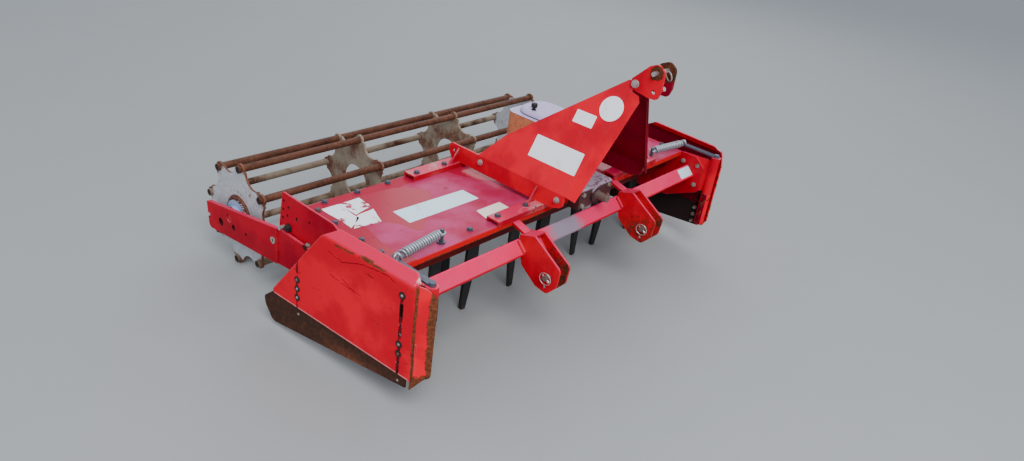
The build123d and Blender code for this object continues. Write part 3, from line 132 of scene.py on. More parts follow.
class Finish:
    """Node tree of one material with its shader."""

    def __init__(self, name):
        self.material = bpy.data.materials.new(name)
        self.material.use_nodes = True
        self.tree = self.material.node_tree
        self.shader = self.tree.nodes["Principled BSDF"]
        self.place = self.node("ShaderNodeTexCoord").outputs["Object"]

    def feed(self, socket, value):
        """Link a wire or a socket, or set a plain value."""
        if isinstance(value, Wire):
            value = value.socket
        if isinstance(value, bpy.types.NodeSocket):
            self.tree.links.new(value, socket)
        else:
            socket.default_value = value

    def node(self, kind, settings=None, inputs=None):
        """New node with its settings first and its inputs after them."""
        node = self.tree.nodes.new(kind)
        for key, value in (settings or {}).items():
            setattr(node, key, value)
        for key, value in (inputs or {}).items():
            self.feed(node.inputs[key], value)
        return node

    def axes(self):
        """The object's X, Y and Z as three wires."""
        node = self.node("ShaderNodeSeparateXYZ", inputs={0: self.place})
        return [Wire(self, socket) for socket in node.outputs]

    def facing(self):
        """The true normal's X, Y and Z as three wires."""
        geometry = self.node("ShaderNodeNewGeometry")
        node = self.node("ShaderNodeSeparateXYZ", inputs={0: geometry.outputs["True Normal"]})
        return [Wire(self, socket) for socket in node.outputs]

    def noise(self, scale, detail=4.0, rough=0.55, stretch=(1, 1, 1), shift=(0, 0, 0), warp=0.0):
        """Noise of a given scale, in cycles per metre, stretched along the axes."""
        mapping = self.node("ShaderNodeMapping", inputs={
            "Vector": self.place, "Scale": stretch, "Location": shift})
        node = self.node("ShaderNodeTexNoise", inputs={
            "Vector": mapping.outputs[0], "Scale": scale, "Detail": detail, "Roughness": rough,
            "Distortion": warp})
        return Wire(self, node.outputs["Fac"])

    def edges(self, radius):
        """Near 1 on convex edges and near 0 on flat ground."""
        bevel = self.node("ShaderNodeBevel", {"samples": BEVEL_SAMPLES}, {"Radius": radius})
        geometry = self.node("ShaderNodeNewGeometry")
        dot = self.node("ShaderNodeVectorMath", {"operation": "DOT_PRODUCT"}, {
            0: bevel.outputs[0], 1: geometry.outputs["True Normal"]})
        return (1 - Wire(self, dot.outputs["Value"])).smooth(0.02, 0.2)

    def mix(self, factor, first, second):
        """Colour between two colours."""
        node = self.node("ShaderNodeMix", {"data_type": "RGBA"})
        self.feed(node.inputs["Factor"], factor)
        self.feed(node.inputs["A"], first)
        self.feed(node.inputs["B"], second)
        return node.outputs["Result"]

    def colours(self, factor, *stops):
        """Colour ramp over rows of (position, colour)."""
        node = self.node("ShaderNodeValToRGB")
        ramp = node.color_ramp
        while len(ramp.elements) < len(stops):
            ramp.elements.new(0.5)
        for element, (position, colour) in zip(ramp.elements, stops):
            element.position = position
            element.color = colour
        self.feed(node.inputs[0], factor)
        return node.outputs["Color"]

    def done(self, colour, rough, height=None, depth=0.001, metal=None):
        """Wire the shader: colour, roughness, metal and a bump of the given depth."""
        self.feed(self.shader.inputs["Base Color"], colour)
        self.feed(self.shader.inputs["Roughness"], rough)
        if metal is not None:
            self.feed(self.shader.inputs["Metallic"], metal)
        if height is not None:
            bump = self.node("ShaderNodeBump", inputs={
                "Height": height, "Distance": depth, "Strength": BUMP_STRENGTH})
            self.feed(self.shader.inputs["Normal"], bump.outputs[0])
        return self.material


def rgb(red, green, blue):
    """Linear colour with full alpha."""
    return (red, green, blue, 1.0)


def dimmed(colour, red, green, blue):
    """Colour with a share of each of its parts."""
    return rgb(colour[0] * red, colour[1] * green, colour[2] * blue)


# Colours of rust, soil, dust and worn paint, and of painted sky sheen and painted shade
RUST_DARK = rgb(0.045, 0.018, 0.010)
RUST_BROWN = rgb(0.145, 0.045, 0.022)
RUST_ORANGE = rgb(0.330, 0.100, 0.038)
DUST = rgb(0.46, 0.38, 0.37)
SOIL = rgb(0.30, 0.24, 0.17)
SKY_PINK = rgb(0.92, 0.030, 0.150)
WORN_PINK = rgb(0.82, 0.26, 0.28)
CHALK_PINK = rgb(0.88, 0.52, 0.52)
LID_SKY_PINK = rgb(0.52, 0.055, 0.170)
LID_SKY_ROSE = rgb(0.41, 0.012, 0.058)
LID_WET = rgb(0.41, 0.006, 0.036)
LIP_RED = rgb(0.64, 0.003, 0.010)
CREASE_SOIL = rgb(0.42, 0.34, 0.32)
# Near black, both soot and painted shade in holes, round the slot and in tube ends
SHADE_AND_SOOT = rgb(0.022, 0.011, 0.009)

# Colours of bare and cast metal, with painted shade on a plate's back and painted sky sheen on cast tops
HUB_BLUE = rgb(0.30, 0.42, 0.62)
STUB_RED = rgb(0.54, 0.002, 0.016)
BARE_GREY = rgb(0.26, 0.21, 0.27)
PLATE_BACK_SHADE = rgb(0.020, 0.010, 0.009)
DISC_PALE, DISC_GREY = rgb(0.56, 0.58, 0.61), rgb(0.42, 0.43, 0.45)
CAST_BROWN, CAST_ORANGE, CAST_TAN = rgb(0.24, 0.070, 0.032), rgb(0.56, 0.175, 0.075), rgb(0.72, 0.28, 0.125)
COVER_SKY_SHEEN, COVER_DIRT = rgb(0.52, 0.43, 0.66), rgb(0.16, 0.08, 0.12)
HOUSING_BLACK, HOUSING_DARK_RED, HOUSING_BROWN = rgb(0.018, 0.010, 0.010), rgb(0.075, 0.018, 0.020), rgb(0.18, 0.045, 0.04)
HOUSING_SKY_SHEEN, HOUSING_DIRT = rgb(0.40, 0.34, 0.44), rgb(0.16, 0.06, 0.07)

# Places of the machine that the finishes follow, in metres
FOLD_X, FOLD_Y, SHIELD_FOOT_Z = 1.034, -0.680, 0.174
SLOT_Z = 0.431
FLANGE_TURN = radians(52)
HITCH_X, CHEEK_GAP = 0.3415, 0.0252
BARE_PATCH_X = -0.095
ROLLER_Y, ROLLER_Z = 0.533, 0.24814
OUTER_DISC_X = 0.90
HUB_RADIUS, RING_RADIUS, TIP_RADIUS = 0.073, 0.090, 0.205
STUB_RADIUS, STUB_START_X = 0.022, 0.960
BOSS_RADIUS, ARM_INNER_X = 0.048, 0.9688
COVER_SEAM_Z, COVER_SEAM = 0.7715, 0.0030
LIP_FOOT_Z, WET_REAR_Y = 0.489, -0.035
NEAR_PIN, FAR_PIN = (0.074, -0.746, 1.118), (0.166, -0.750, 1.118)


def rust_colour(finish, grain):
    """Rust from dark brown to orange over a grain."""
    return finish.colours(grain, (0.25, RUST_DARK), (0.5, RUST_BROWN), (0.78, RUST_ORANGE))


def apart(y, z, centre_y, centre_z):
    """Distance from a centre, seen from the side."""
    return ((y - centre_y) ** 2 + (z - centre_z) ** 2) ** 0.5


def near(finish, place, reach):
    """1 at a place, falling to 0 at a reach from it."""
    x, y, z = finish.axes()
    gap = ((x - place[0]) ** 2 + (y - place[1]) ** 2 + (z - place[2]) ** 2) ** 0.5
    return gap.fade(reach * 0.35, reach)


# Scratches on the outer side of the right shield, in millimetres
SCRATCHES = [
    # start Y, start Z, end Y, end Z, width
    (-252, 495, -328, 480, 1.6),
    (-328, 480, -435, 520, 2.2),
    (-435, 520, -545, 534, 2.0),
    (-545, 534, -582, 524, 1.6),
    (-270, 404, -305, 397, 1.8),
    (-305, 397, -428, 392, 1.2),
    (-330, 416, -399, 387, 1.6),
    (-451, 494, -486, 490, 1.6),
    (-77, 333, -110, 329, 2.4),
    (-288, 534, -384, 537, 5.5),
    (-409, 541, -475, 545, 8.0),
    (-476, 538, -537, 541, 5.0),
]
FIRST_BROAD = 9


def stroke(y, z, start, end, width):
    """1 on a thin line between two places (Y, Z) of a side sheet, all in millimetres."""
    run, rise = (end[0] - start[0]) * MM, (end[1] - start[1]) * MM
    length = (run ** 2 + rise ** 2) ** 0.5
    run, rise = run / length, rise / length
    behind, above = y - start[0] * MM, z - start[1] * MM
    along = behind * run + above * rise
    across = (behind * rise - above * run).size()
    return across.fade(width * MM * 0.5, width * MM) * (along > 0) * (along < length)


def scars(finish, chips, rows):
    """Scratches of the right shield's outer side from rows of the table."""
    x, y, z = finish.axes()
    wobble = finish.noise(28, detail=3, shift=(5, 5, 2)) - 0.5
    y, z = y + wobble * 0.006, z + wobble * 0.014
    lines = [stroke(y, z, (start_y, start_z), (end_y, end_z), width)
             for start_y, start_z, end_y, end_z, width in rows]
    return reduce(Wire.most, lines) * (x < 0) * chips.smooth(0.36, 0.46)


def shield_grime_and_shade(finish, chips, broad):
    """Dark scratches, grime round the columns of holes, and painted shade round the slot."""
    y, z = finish.axes()[1:]
    front, rear = [(y - FOLD_Y - column * MM).size() for column in (FRONT_COLUMN, REAR_COLUMN)]
    columns = front.fade(0.004, 0.018).most(rear.fade(0.004, 0.018))
    within = z.smooth(0.13, 0.16) * z.fade(0.48, 0.51)
    grime = (columns * 0.54 + chips * 0.55 + broad * 0.2).smooth(0.86, 0.92) * within
    # Painted shade round the through slot
    slot = front.fade(0.007, 0.010) * (z - SLOT_Z).size().fade(0.022, 0.032)
    lines = scars(finish, chips, SCRATCHES[:FIRST_BROAD])
    return (lines * 0.8).most(grime * 0.9).most((slot + chips * 0.6 - 0.25).smooth(0.5, 0.6))


def shield_corner(finish, chips):
    """Chalky worn paint at the shield's front top corner, along its front fold and its lower edge."""
    y, z = finish.axes()[1:]
    behind = y - FOLD_Y
    fold = (behind - 0.010).size().fade(0.006, 0.022)
    corner = (fold * 0.5 + z.smooth(0.50, 0.575) * 0.42 + chips * 0.5 - 0.25).smooth(0.80, 0.90)
    lower = (z + chips * 0.008).fade(SHIELD_FOOT_Z, SHIELD_FOOT_Z + 0.002) * (behind > 0.010)
    return (corner * (behind < 0.07)).most(lower * 0.36)


def shield_rust(finish, chips, broad):
    """Rust on the shield's flange: a strip by the fold, a wide outer edge and the foot."""
    x, y, z = finish.axes()
    inward = (FOLD_X - x.size()) * sin(FLANGE_TURN) - (y - FOLD_Y) * cos(FLANGE_TURN)
    ragged = chips * 0.034 + broad * 0.044 - 0.040
    outer = (inward + ragged).smooth(0.046, 0.049)
    fold = (inward - 0.003 + ragged * 0.3).size().fade(0.004, 0.006)
    foot = (z + ragged * 2).fade(SHIELD_FOOT_Z - 0.004, SHIELD_FOOT_Z + 0.004)
    top = z.smooth(0.540, 0.552) * 0.4
    front = (y - FOLD_Y) < 0.006
    flange = ((outer.most(foot) * (inward > 0.004)).most(fold * (inward > -0.003)) - top) * front
    flange = flange * (x < 0).most(chips > 0.56)
    return flange.most(scars(finish, chips, SCRATCHES[FIRST_BROAD:]))


def clevis_rust(finish, chips, broad):
    """Rust between the cheeks and round the pin."""
    x, y, z = finish.axes()
    inner = (x.size() - HITCH_X).size().fade(CHEEK_GAP - 0.0004, CHEEK_GAP + 0.0004)
    lower = (z + y * 0.6).fade(-0.08, 0.16)
    speckle = finish.noise(150, detail=5, rough=0.7)
    open_side = 0.13 + (x > 0) * 0.23
    eaten = lower * (open_side.most(inner * 0.42)) + chips * 0.62 + speckle * 0.30 + broad * 0.22
    return eaten.smooth(0.79, 1.02)


def head_rust(place, reach, share):
    """Rust round a top link pin over the given reach."""
    def area(finish, chips, broad):
        return (near(finish, place, reach) * share + chips * 0.5 + broad * 0.3).smooth(0.78, 0.88)
    return area


def hub_area(finish, chips, broad):
    """Bearing boss behind the roller arm."""
    x, y, z = finish.axes()
    return (apart(y, z, ROLLER_Y, ROLLER_Z) < BOSS_RADIUS) * (x.size() < ARM_INNER_X)


# Open holes of the roller arms and the end plates, and their nuts with grime, in millimetres; painted shade
# darkens the holes and round the nuts
OPEN_HOLES = [
    # Y, Z, radius
    (127, 379, 18),
    (-1, 359, 14),
    (698, 193, 11),
    (600, 201, 17),
    (499, 217, 12),
    (402, 228, 6),
    (160, 484, 5.5),
    (164, 446, 5.5),
    (167, 408, 5.5),
    (130, 467, 5.5),
    (136, 428, 5.5),
    (73, 439, 7.5),
    (-6, 461, 5),
]


def hole_shade_and_grime(finish, chips, broad):
    """Painted shade in the holes, and grime with painted shade on their rims."""
    y, z = finish.axes()[1:]
    gaps = [apart(y, z, hole_y * MM, hole_z * MM) - radius * MM for hole_y, hole_z, radius in OPEN_HOLES]
    return (reduce(Wire.least, gaps) + chips * 0.004).fade(0.0022, 0.0038) * 0.9


def beam_wear(finish, chips, broad):
    """Bare patch on the beam's upper face between the clevises, with a speckled edge."""
    x, y, z = finish.axes()
    across = (x - BARE_PATCH_X).size()
    upper = (z - y).smooth(0.955, 0.975)
    speckle = finish.noise(190, detail=5, rough=0.75)
    return (across * 4.4 + chips * 0.5 + speckle * 1.5 - 1.02).fade(0.36, 0.46) * upper


def paint_loss(finish, edge, chips, patches, wear, scratches):
    """1 where the paint is off: on edges, in chips and along thin scratches."""
    edges = (edge * 0.75 + chips * 0.9).smooth(1.16 - wear * 0.4, 1.26 - wear * 0.4)
    spots = (chips * patches).smooth(0.44 - wear * 0.08, 0.455 - wear * 0.08)
    scratch = finish.noise(9, detail=3, stretch=(1, 0.8, 5), shift=(1, 5, 0), warp=1.2)
    lines = (scratch - 0.5).size().fade(0.0, 0.005) * patches.smooth(0.50, 0.60)
    return edges.most(spots).most(lines * scratches)


def red_paint(name, base, wear, sheen, dust=0.1, scratches=0.3, rub=0.0, rear_shade=0.0, inside=None,
              rust_area=None, rust_depth=0.0, bare_metal=None, chalky=None, grime=None):
    """Red paint: sky-lit on top with a painted sky sheen, chipped at its edges, scratched, and gone to rust
    in one area; painted shade may darken its inner side, its rear and its holes.
    """
    finish = Finish(name)
    up = finish.facing()[2]
    broad = finish.noise(4, detail=4)
    patches = finish.noise(11, detail=6, shift=(7, 3, 1), warp=0.6)
    grain = finish.noise(110, detail=6, rough=0.65)
    chips = finish.noise(42, detail=8, rough=0.7, shift=(3, 1, 2))
    edge = finish.edges(0.0035)
    bare = paint_loss(finish, edge, chips, patches, wear, scratches)
    rubbed = edge * grain.smooth(0.2, 0.6)
    if rub:
        rubbed = rubbed.most(finish.edges(rub) * (0.6 + grain * 0.6))
    deep = dimmed(base, 0.74, 0.5, 0.8)
    shade = finish.mix(broad.smooth(0.42, 0.58), base, deep)
    # Painted shade: the colour darkens toward the rear by rear_shade
    if rear_shade:
        shade = finish.mix(finish.axes()[1].smooth(-0.45, 0.0) * rear_shade, shade, deep)
    if inside:
        # Painted shade on the inner side: a shield stands a metre out, so X times the normal's X is near -1
        # on its inner side, and there the colour goes to the darker inside colour
        inward = (finish.axes()[0] * finish.facing()[0]) < -0.8
        shade = finish.mix(inward, shade, inside)
    # Painted sky sheen: up-facing faces are mixed toward SKY_PINK, a painted reflection of the sky
    skylit = up.smooth(0.25, 0.85)
    shade = finish.mix((skylit * sheen * (0.8 + broad * 0.4)).clamp(), shade, SKY_PINK)
    shade = finish.mix((rubbed * (0.4 + wear * 0.8)).clamp(), shade, WORN_PINK)
    if chalky is not None:
        shade = finish.mix(chalky(finish, chips), shade, CHALK_PINK)
    dusty = (patches.smooth(0.45, 0.7) * grain.smooth(0.3, 0.7) * dust * (0.3 + skylit)).clamp()
    shade = finish.mix(dusty, shade, DUST)
    under = rust_colour(finish, grain - rust_depth)
    colour = finish.mix(bare, shade, under)
    if rust_area is not None:
        gone = rust_area(finish, chips, broad).clamp()
        colour = finish.mix(gone, colour, bare_metal or under)
        bare = bare.most(gone)
    # Grime and painted shade: the grime mask darkens scratches, slots, holes and their rims toward a
    # near-black colour
    if grime is not None:
        colour = finish.mix(grime(finish, chips, broad), colour, SHADE_AND_SOOT)
    rough = (0.34 + patches * 0.14) * (1 - bare) + bare * 0.85
    height = (1 - bare) * 0.5 + grain * 0.08 + bare * grain * 0.5 + patches * 0.2
    finish.shader.inputs["Specular IOR Level"].default_value = 0.05
    finish.shader.inputs["Coat Roughness"].default_value = 0.16
    finish.feed(finish.shader.inputs["Coat Weight"], (1 - bare) * skylit * 0.3)
    return finish.done(colour, rough, height, depth=0.0007)


def lid_paint(name):
    """Paint of the trough's lid: pinkish where dry, from dust and a painted sky sheen on its level top, deep
    and glossy where wet.
    """
    finish = Finish(name)
    up = finish.facing()[2]
    puddle = finish.noise(2.6, detail=1.5, rough=0.4, shift=(0.3, 0.1, 0), warp=0.5).smooth(0.525, 0.535)
    broad = finish.noise(7, detail=5)
    grain = finish.noise(130, detail=6)
    chips = finish.noise(46, detail=8, rough=0.7, shift=(2, 2, 0))
    y, z = finish.axes()[1:]
    rear = (y + (finish.noise(5, shift=(2, 8, 0)) - 0.5) * 0.08).smooth(WET_REAR_Y, WET_REAR_Y + 0.005)
    dry = finish.mix(broad.smooth(0.3, 0.7), LID_SKY_PINK, LID_SKY_ROSE)
    top = finish.mix(puddle.most(rear), dry, LID_WET)
    level = up.smooth(0.75, 0.85)
    edge = (finish.edges(0.003) * 0.8 + chips * 0.9).smooth(1.04, 1.16)
    spots = (chips * finish.noise(12, shift=(4, 1, 0))).smooth(0.40, 0.42)
    lip = ((1 - level) * (chips * 0.8 + (LIP_FOOT_Z - z) * 22)).smooth(0.44, 0.50)
    bare = edge.most(spots).most(lip)
    # Painted sky sheen: level faces take the pink top colours, the others the plain lip red
    colour = finish.mix(level, LIP_RED, top)
    colour = finish.mix(bare, colour, rust_colour(finish, grain))
    rough = (0.40 + broad * 0.10 - puddle * 0.20 * level) * (1 - bare) + bare * 0.8
    finish.shader.inputs["Specular IOR Level"].default_value = 0.08
    finish.shader.inputs["Coat Roughness"].default_value = 0.12
    finish.feed(finish.shader.inputs["Coat Weight"], (1 - bare) * level * (0.04 + puddle * 0.12))
    return finish.done(colour, rough, grain * 0.12 - puddle * 0.25 - bare * 0.5, depth=0.0006)


def rust(name, dark=0.0, mud=0.0, polish=0.0, streak=0.0, tube=False):
    """Brown rust with darker scale, dried mud, a fresher streak along the ground, painted shade on a wear
    plate's inner face and painted shade in the tube ends.
    """
    finish = Finish(name)
    grain = finish.noise(60, detail=8, rough=0.68)
    broad = finish.noise(9, detail=4, shift=(2, 0, 1))
    x, y, z = finish.axes()
    low = (z - (y - FOLD_Y) * 0.10 + broad * 0.06 - 0.03).fade(0.04, 0.12) * y.fade(-0.45, -0.15)
    colour = rust_colour(finish, (grain * 0.7 + broad * 0.35 - dark + low * streak).clamp())
    if streak:
        # Painted shade: inner faces, where X times the normal's X is below 0, go near black
        colour = finish.mix((x * finish.facing()[0]) < 0, colour, PLATE_BACK_SHADE)
    if mud:
        below = ((y - ROLLER_Y) - (z - ROLLER_Z) * 1.2).smooth(-0.05, 0.09)
        cover = (broad * 1.3 + grain * 0.3 - 0.45).smooth(0.1, 0.5) * (below * mud + 0.05)
        colour = finish.mix(cover, colour, SOIL)
    if tube:
        # Painted shade in the open ends of the tubes, with their rims kept
        bore = (finish.facing()[0].size() > 0.9) * (1 - finish.edges(0.007))
        colour = finish.mix(bore, colour, SHADE_AND_SOOT)
    finish.shader.inputs["Specular IOR Level"].default_value = 0.2
    return finish.done(colour, 0.62 - polish + grain * 0.3, grain + broad * 0.5, depth=0.0012)


def disc_finish(name):
    """Outer discs pale grey with a dark ring and a blue-grey hub, inner discs muddy."""
    finish = Finish(name)
    x, y, z = finish.axes()
    grain = finish.noise(70, detail=7, rough=0.65)
    broad = finish.noise(10, detail=5, shift=(1, 2, 3))
    out = apart(y, z, ROLLER_Y, ROLLER_Z)
    outer = x.size().smooth(OUTER_DISC_X, OUTER_DISC_X + 0.01)
    pale = finish.mix(grain.smooth(0.3, 0.7), DISC_PALE, DISC_GREY)
    tips = (out + broad * 0.04 + grain * 0.02 - 0.03).smooth(TIP_RADIUS, TIP_RADIUS + 0.020)
    specks = (grain * 0.8 + broad * 0.6).smooth(0.80, 0.90)
    edge = finish.edges(0.004)
    worn = tips.most(specks * 0.8).most(edge * grain.smooth(0.35, 0.5))
    ring_edge = (out + grain * 0.01 - 0.005).fade(RING_RADIUS, RING_RADIUS + 0.004)
    ring = out.smooth(HUB_RADIUS, HUB_RADIUS + 0.002) * ring_edge
    facing = finish.facing()[0]
    outward = (x * facing) > 0
    rim = facing.size().fade(0.5, 0.8)
    plate = finish.mix(worn.most(ring * outward).most(rim), pale, rust_colour(finish, grain))
    plate = finish.mix(out.fade(HUB_RADIUS - 0.0005, HUB_RADIUS) * outward, plate, HUB_BLUE)
    plate = finish.mix((out < STUB_RADIUS) * (x.size() > STUB_START_X), plate, STUB_RED)
    mud = (broad * 1.3 + grain * 0.4 - 0.5).smooth(0.1, 0.5)
    muddy = finish.mix(mud, rust_colour(finish, grain), SOIL)
    colour = finish.mix(outer, muddy, plate)
    return finish.done(colour, 0.45 + grain * 0.35, grain + broad * 0.6, depth=0.001)


def gearbox_finish(name):
    """Cast body: orange rust on its sides, pale paint with a painted sky sheen on top."""
    finish = Finish(name)
    up = finish.facing()[2]
    grain = finish.noise(55, detail=8, rough=0.7)
    broad = finish.noise(8, detail=5)
    sides = finish.colours(
        grain * 0.6 + broad * 0.4, (0.32, CAST_BROWN), (0.5, CAST_ORANGE), (0.7, CAST_TAN))
    top = finish.mix((grain * 0.6 + broad * 0.6).smooth(0.70, 0.86), COVER_SKY_SHEEN, COVER_DIRT)
    height = finish.axes()[2]
    seam = (height - COVER_SEAM_Z).size() < COVER_SEAM
    # Painted sky sheen: up-facing faces and the cover above the seam take the pale lilac top colour
    colour = finish.mix(up.smooth(0.25, 0.6).most(height > COVER_SEAM_Z), sides, top)
    colour = finish.mix(seam * up.fade(0.7, 0.9), colour, SHADE_AND_SOOT)
    return finish.done(colour, 0.42 + grain * 0.35, grain + broad, depth=0.0015)


def housing_finish(name):
    """Input housing: dark front, pale top with a painted sky sheen."""
    finish = Finish(name)
    up = finish.facing()[2]
    grain = finish.noise(60, detail=7, rough=0.7)
    broad = finish.noise(9, detail=5)
    front = finish.colours(
        grain * 0.5 + broad * 0.5, (0.35, HOUSING_BLACK), (0.55, HOUSING_DARK_RED), (0.75, HOUSING_BROWN))
    top = finish.mix((grain + broad * 0.5).smooth(0.7, 0.9), HOUSING_SKY_SHEEN, HOUSING_DIRT)
    # Painted sky sheen: up-facing faces take the pale lilac top colour
    return finish.done(finish.mix(up.smooth(0.3, 0.7), front, top), 0.4 + grain * 0.3, grain, depth=0.001)


def metal(name, base, rough=0.4, rust_share=0.3, share=0.85):
    """Bare or plated steel with dull spots of rust."""
    finish = Finish(name)
    grain = finish.noise(140, detail=5)
    broad = finish.noise(26, detail=5, shift=(4, 2, 1))
    spots = (broad * 0.8 + grain * 0.35).smooth(0.72 - rust_share * 0.3, 0.85 - rust_share * 0.3)
    colour = finish.mix(spots, finish.mix(grain, base, dimmed(base, 0.7, 0.7, 0.7)), RUST_BROWN)
    return finish.done(colour, rough + grain * 0.2 + spots * 0.3, grain + spots * 0.4, depth=0.0004,
                       metal=(1 - spots) * share)


def label_film(name, base, torn=False):
    """Blank printed film with soil in its creases, and torn through to the paint where it is torn."""
    finish = Finish(name)
    grain = finish.noise(160, detail=6)
    broad = finish.noise(18, detail=6, warp=0.5)
    soil = (broad * 0.8 + grain * 0.4).smooth(0.66, 0.9) * 0.5
    colour = finish.mix(soil, base, CREASE_SOIL)
    if torn:
        tears = (finish.noise(17, detail=7, rough=0.62, shift=(1, 4, 0)) - 0.56).smooth(0.0, 0.008)
        colour = finish.mix(tears, colour, LID_SKY_ROSE)
    return finish.done(colour, 0.42 + soil * 0.3, broad + grain * 0.1, depth=0.0003)


def make_finishes():
    """Every finish of the machine by a plain name."""
    red = rgb(0.72, 0.001, 0.020)
    label_white = rgb(0.93, 0.94, 0.98)
    return {
        "red": red_paint("red_paint", red, wear=0.25, sheen=0.45),
        "plates": red_paint(
            "end_plate_paint", rgb(0.54, 0.001, 0.018), wear=0.25, sheen=0.5, rust_area=hub_area,
            bare_metal=HUB_BLUE, grime=hole_shade_and_grime),
        # The shield's inside colour is painted shade on its inner side, and rear_shade paints shade toward
        # its rear
        "shield": red_paint(
            "shield_paint", rgb(0.95, 0.0005, 0.024), wear=0.25, sheen=0.58, dust=0.03, rust_area=shield_rust,
            scratches=0.5, chalky=shield_corner, inside=rgb(0.15, 0.002, 0.012), grime=shield_grime_and_shade,
            rub=0.007, rear_shade=0.5),
        "rails": red_paint(
            "rail_paint", rgb(0.50, 0.002, 0.020), wear=0.50, sheen=0.40, dust=0.9, rust_depth=0.08),
        # The clevis's darker rust is partly its real dark rust and partly painted shade between the cheeks
        "clevis": red_paint(
            "clevis_paint", rgb(0.68, 0.003, 0.018), wear=0.60, sheen=0.6, rust_area=clevis_rust,
            rust_depth=0.16),
        "near_head": red_paint(
            "headstock_paint", rgb(0.74, 0.0008, 0.020), wear=0.20, sheen=0.04, dust=0.05,
            rust_area=head_rust(NEAR_PIN, 0.056, 0.54), scratches=0.15, rust_depth=0.10),
        # Painted shade: the far headstock plate is a much darker copy of the near plate's red
        "far_head": red_paint(
            "far_headstock_shaded_paint", rgb(0.28, 0.004, 0.020), wear=0.35, sheen=0.1,
            rust_area=head_rust(FAR_PIN, 0.085, 0.60), rust_depth=0.12),
        "beam": red_paint(
            "beam_paint", red, wear=0.25, sheen=0.76, rust_area=beam_wear, bare_metal=BARE_GREY),
        "lid": lid_paint("lid_paint"),
        # Painted shade: the trough's body under the lid is painted a much darker red
        "trough": red_paint("trough_shaded_paint", rgb(0.16, 0.006, 0.008), wear=0.4, sheen=0.15),
        "rust": rust("rusty_steel", dark=0.27, streak=0.34),
        "bars": rust("rusty_bars", dark=0.13, mud=0.75, polish=0.2, tube=True),
        "disc": disc_finish("roller_disc_steel"),
        "gearbox": gearbox_finish("gearbox_casting"),
        "housing": housing_finish("input_housing_casting"),
        "steel": metal("plated_steel", rgb(0.62, 0.60, 0.57), rough=0.32, rust_share=0.2),
        "lever": metal("lever_steel", rgb(0.135, 0.150, 0.200), rough=0.42, rust_share=0.25, share=0.6),
        "old_pin": metal("old_pins", rgb(0.26, 0.21, 0.18), rough=0.45, rust_share=0.5, share=0.6),
        "spring": metal("spring_steel", rgb(0.46, 0.50, 0.54), rough=0.36, rust_share=0.15, share=0.7),
        "dark_bolt": metal("dark_bolts", rgb(0.10, 0.11, 0.14), rough=0.38, rust_share=0.25, share=0.6),
        "old_bolt": metal("old_bolts", rgb(0.42, 0.36, 0.32), rough=0.45, rust_share=0.6, share=0.6),
        "black": metal("black_forging", rgb(0.016, 0.015, 0.015), rough=0.55, rust_share=0.1, share=0.2),
        "white_label": label_film("white_label", label_white),
        "torn_label": label_film("torn_label", label_white, torn=True),
        "blue_label": label_film("blue_label", rgb(0.66, 0.90, 0.98)),
        "cream_label": label_film("cream_label", rgb(0.88, 0.80, 0.68)),
    }


NODE_FINISHES = {
    "red": ["hinge_bracket_right", "hinge_bracket_left"],
    "rails": ["rails_right", "rails_left"],
    "plates": ["end_plate_right", "end_plate_left", "roller_arm_right", "roller_arm_left"],
    "shield": ["shield_right", "shield_left"],
    "clevis": ["hitch_clevis_right", "hitch_clevis_left"],
    "near_head": ["headstock_plate_right"],
    "far_head": ["headstock_plate_left"],
    "beam": ["front_beam"],
    "trough": ["trough"],
    "lid": ["trough_lid"],
    "rust": ["wear_plate_right", "wear_plate_left"],
    "bars": ["roller_bars"],
    "disc": ["roller_discs"],
    "gearbox": ["gearbox", "gearbox_cover"],
    "housing": ["input_housing"],
    "steel": ["headstock_spacer", "top_link_pin", "arm_pivot_pins", "depth_stops"],
    "old_pin": ["hitch_pin_right", "hitch_pin_left", "pto_shaft"],
    "lever": ["shield_lever_right", "shield_lever_left"],
    "spring": ["spring_right", "spring_left"],
    "black": [f"rotor_{number}" for number in range(1, 9)],
    "dark_bolt": ["spring_posts"],
}

FINISHES = {}


# Mesh helpers: lengths in millimetres


def aim(place, axis, turn=0.0):
    """Matrix that sets Z along an axis at a place given in millimetres."""
    return (Matrix.Translation(Vector(place) * MM) @ Vector(axis).to_track_quat("Z", "Y").to_matrix().to_4x4()
            @ Matrix.Rotation(turn, 4, "Z"))


def settle(shape):
    """Merge doubles, close the poles and point the faces outward."""
    bmesh.ops.remove_doubles(shape, verts=shape.verts, dist=1e-6)
    rims = [edge for edge in shape.edges if edge.is_boundary]
    if rims:
        bmesh.ops.holes_fill(shape, edges=rims, sides=0)
    bmesh.ops.recalc_face_normals(shape, faces=shape.faces)


def template(build, *sizes):
    """Mesh of one fastener, built about the origin and used many times."""
    shape = bmesh.new()
    build(shape, *sizes)
    settle(shape)
    mesh = bpy.data.meshes.new("template")
    shape.to_mesh(mesh)
    shape.free()
    return mesh


def turned(shape, rows, segments=24):
    """Turned form about Z from rows of (radius, height)."""
    points = [shape.verts.new((radius * MM, 0, height * MM)) for radius, height in rows]
    edges = [shape.edges.new(pair) for pair in zip(points, points[1:])]
    bmesh.ops.spin(shape, geom=points + edges, axis=(0, 0, 1), cent=(0, 0, 0), steps=segments, angle=2 * pi,
                   use_merge=True)


WASHER = 2.5


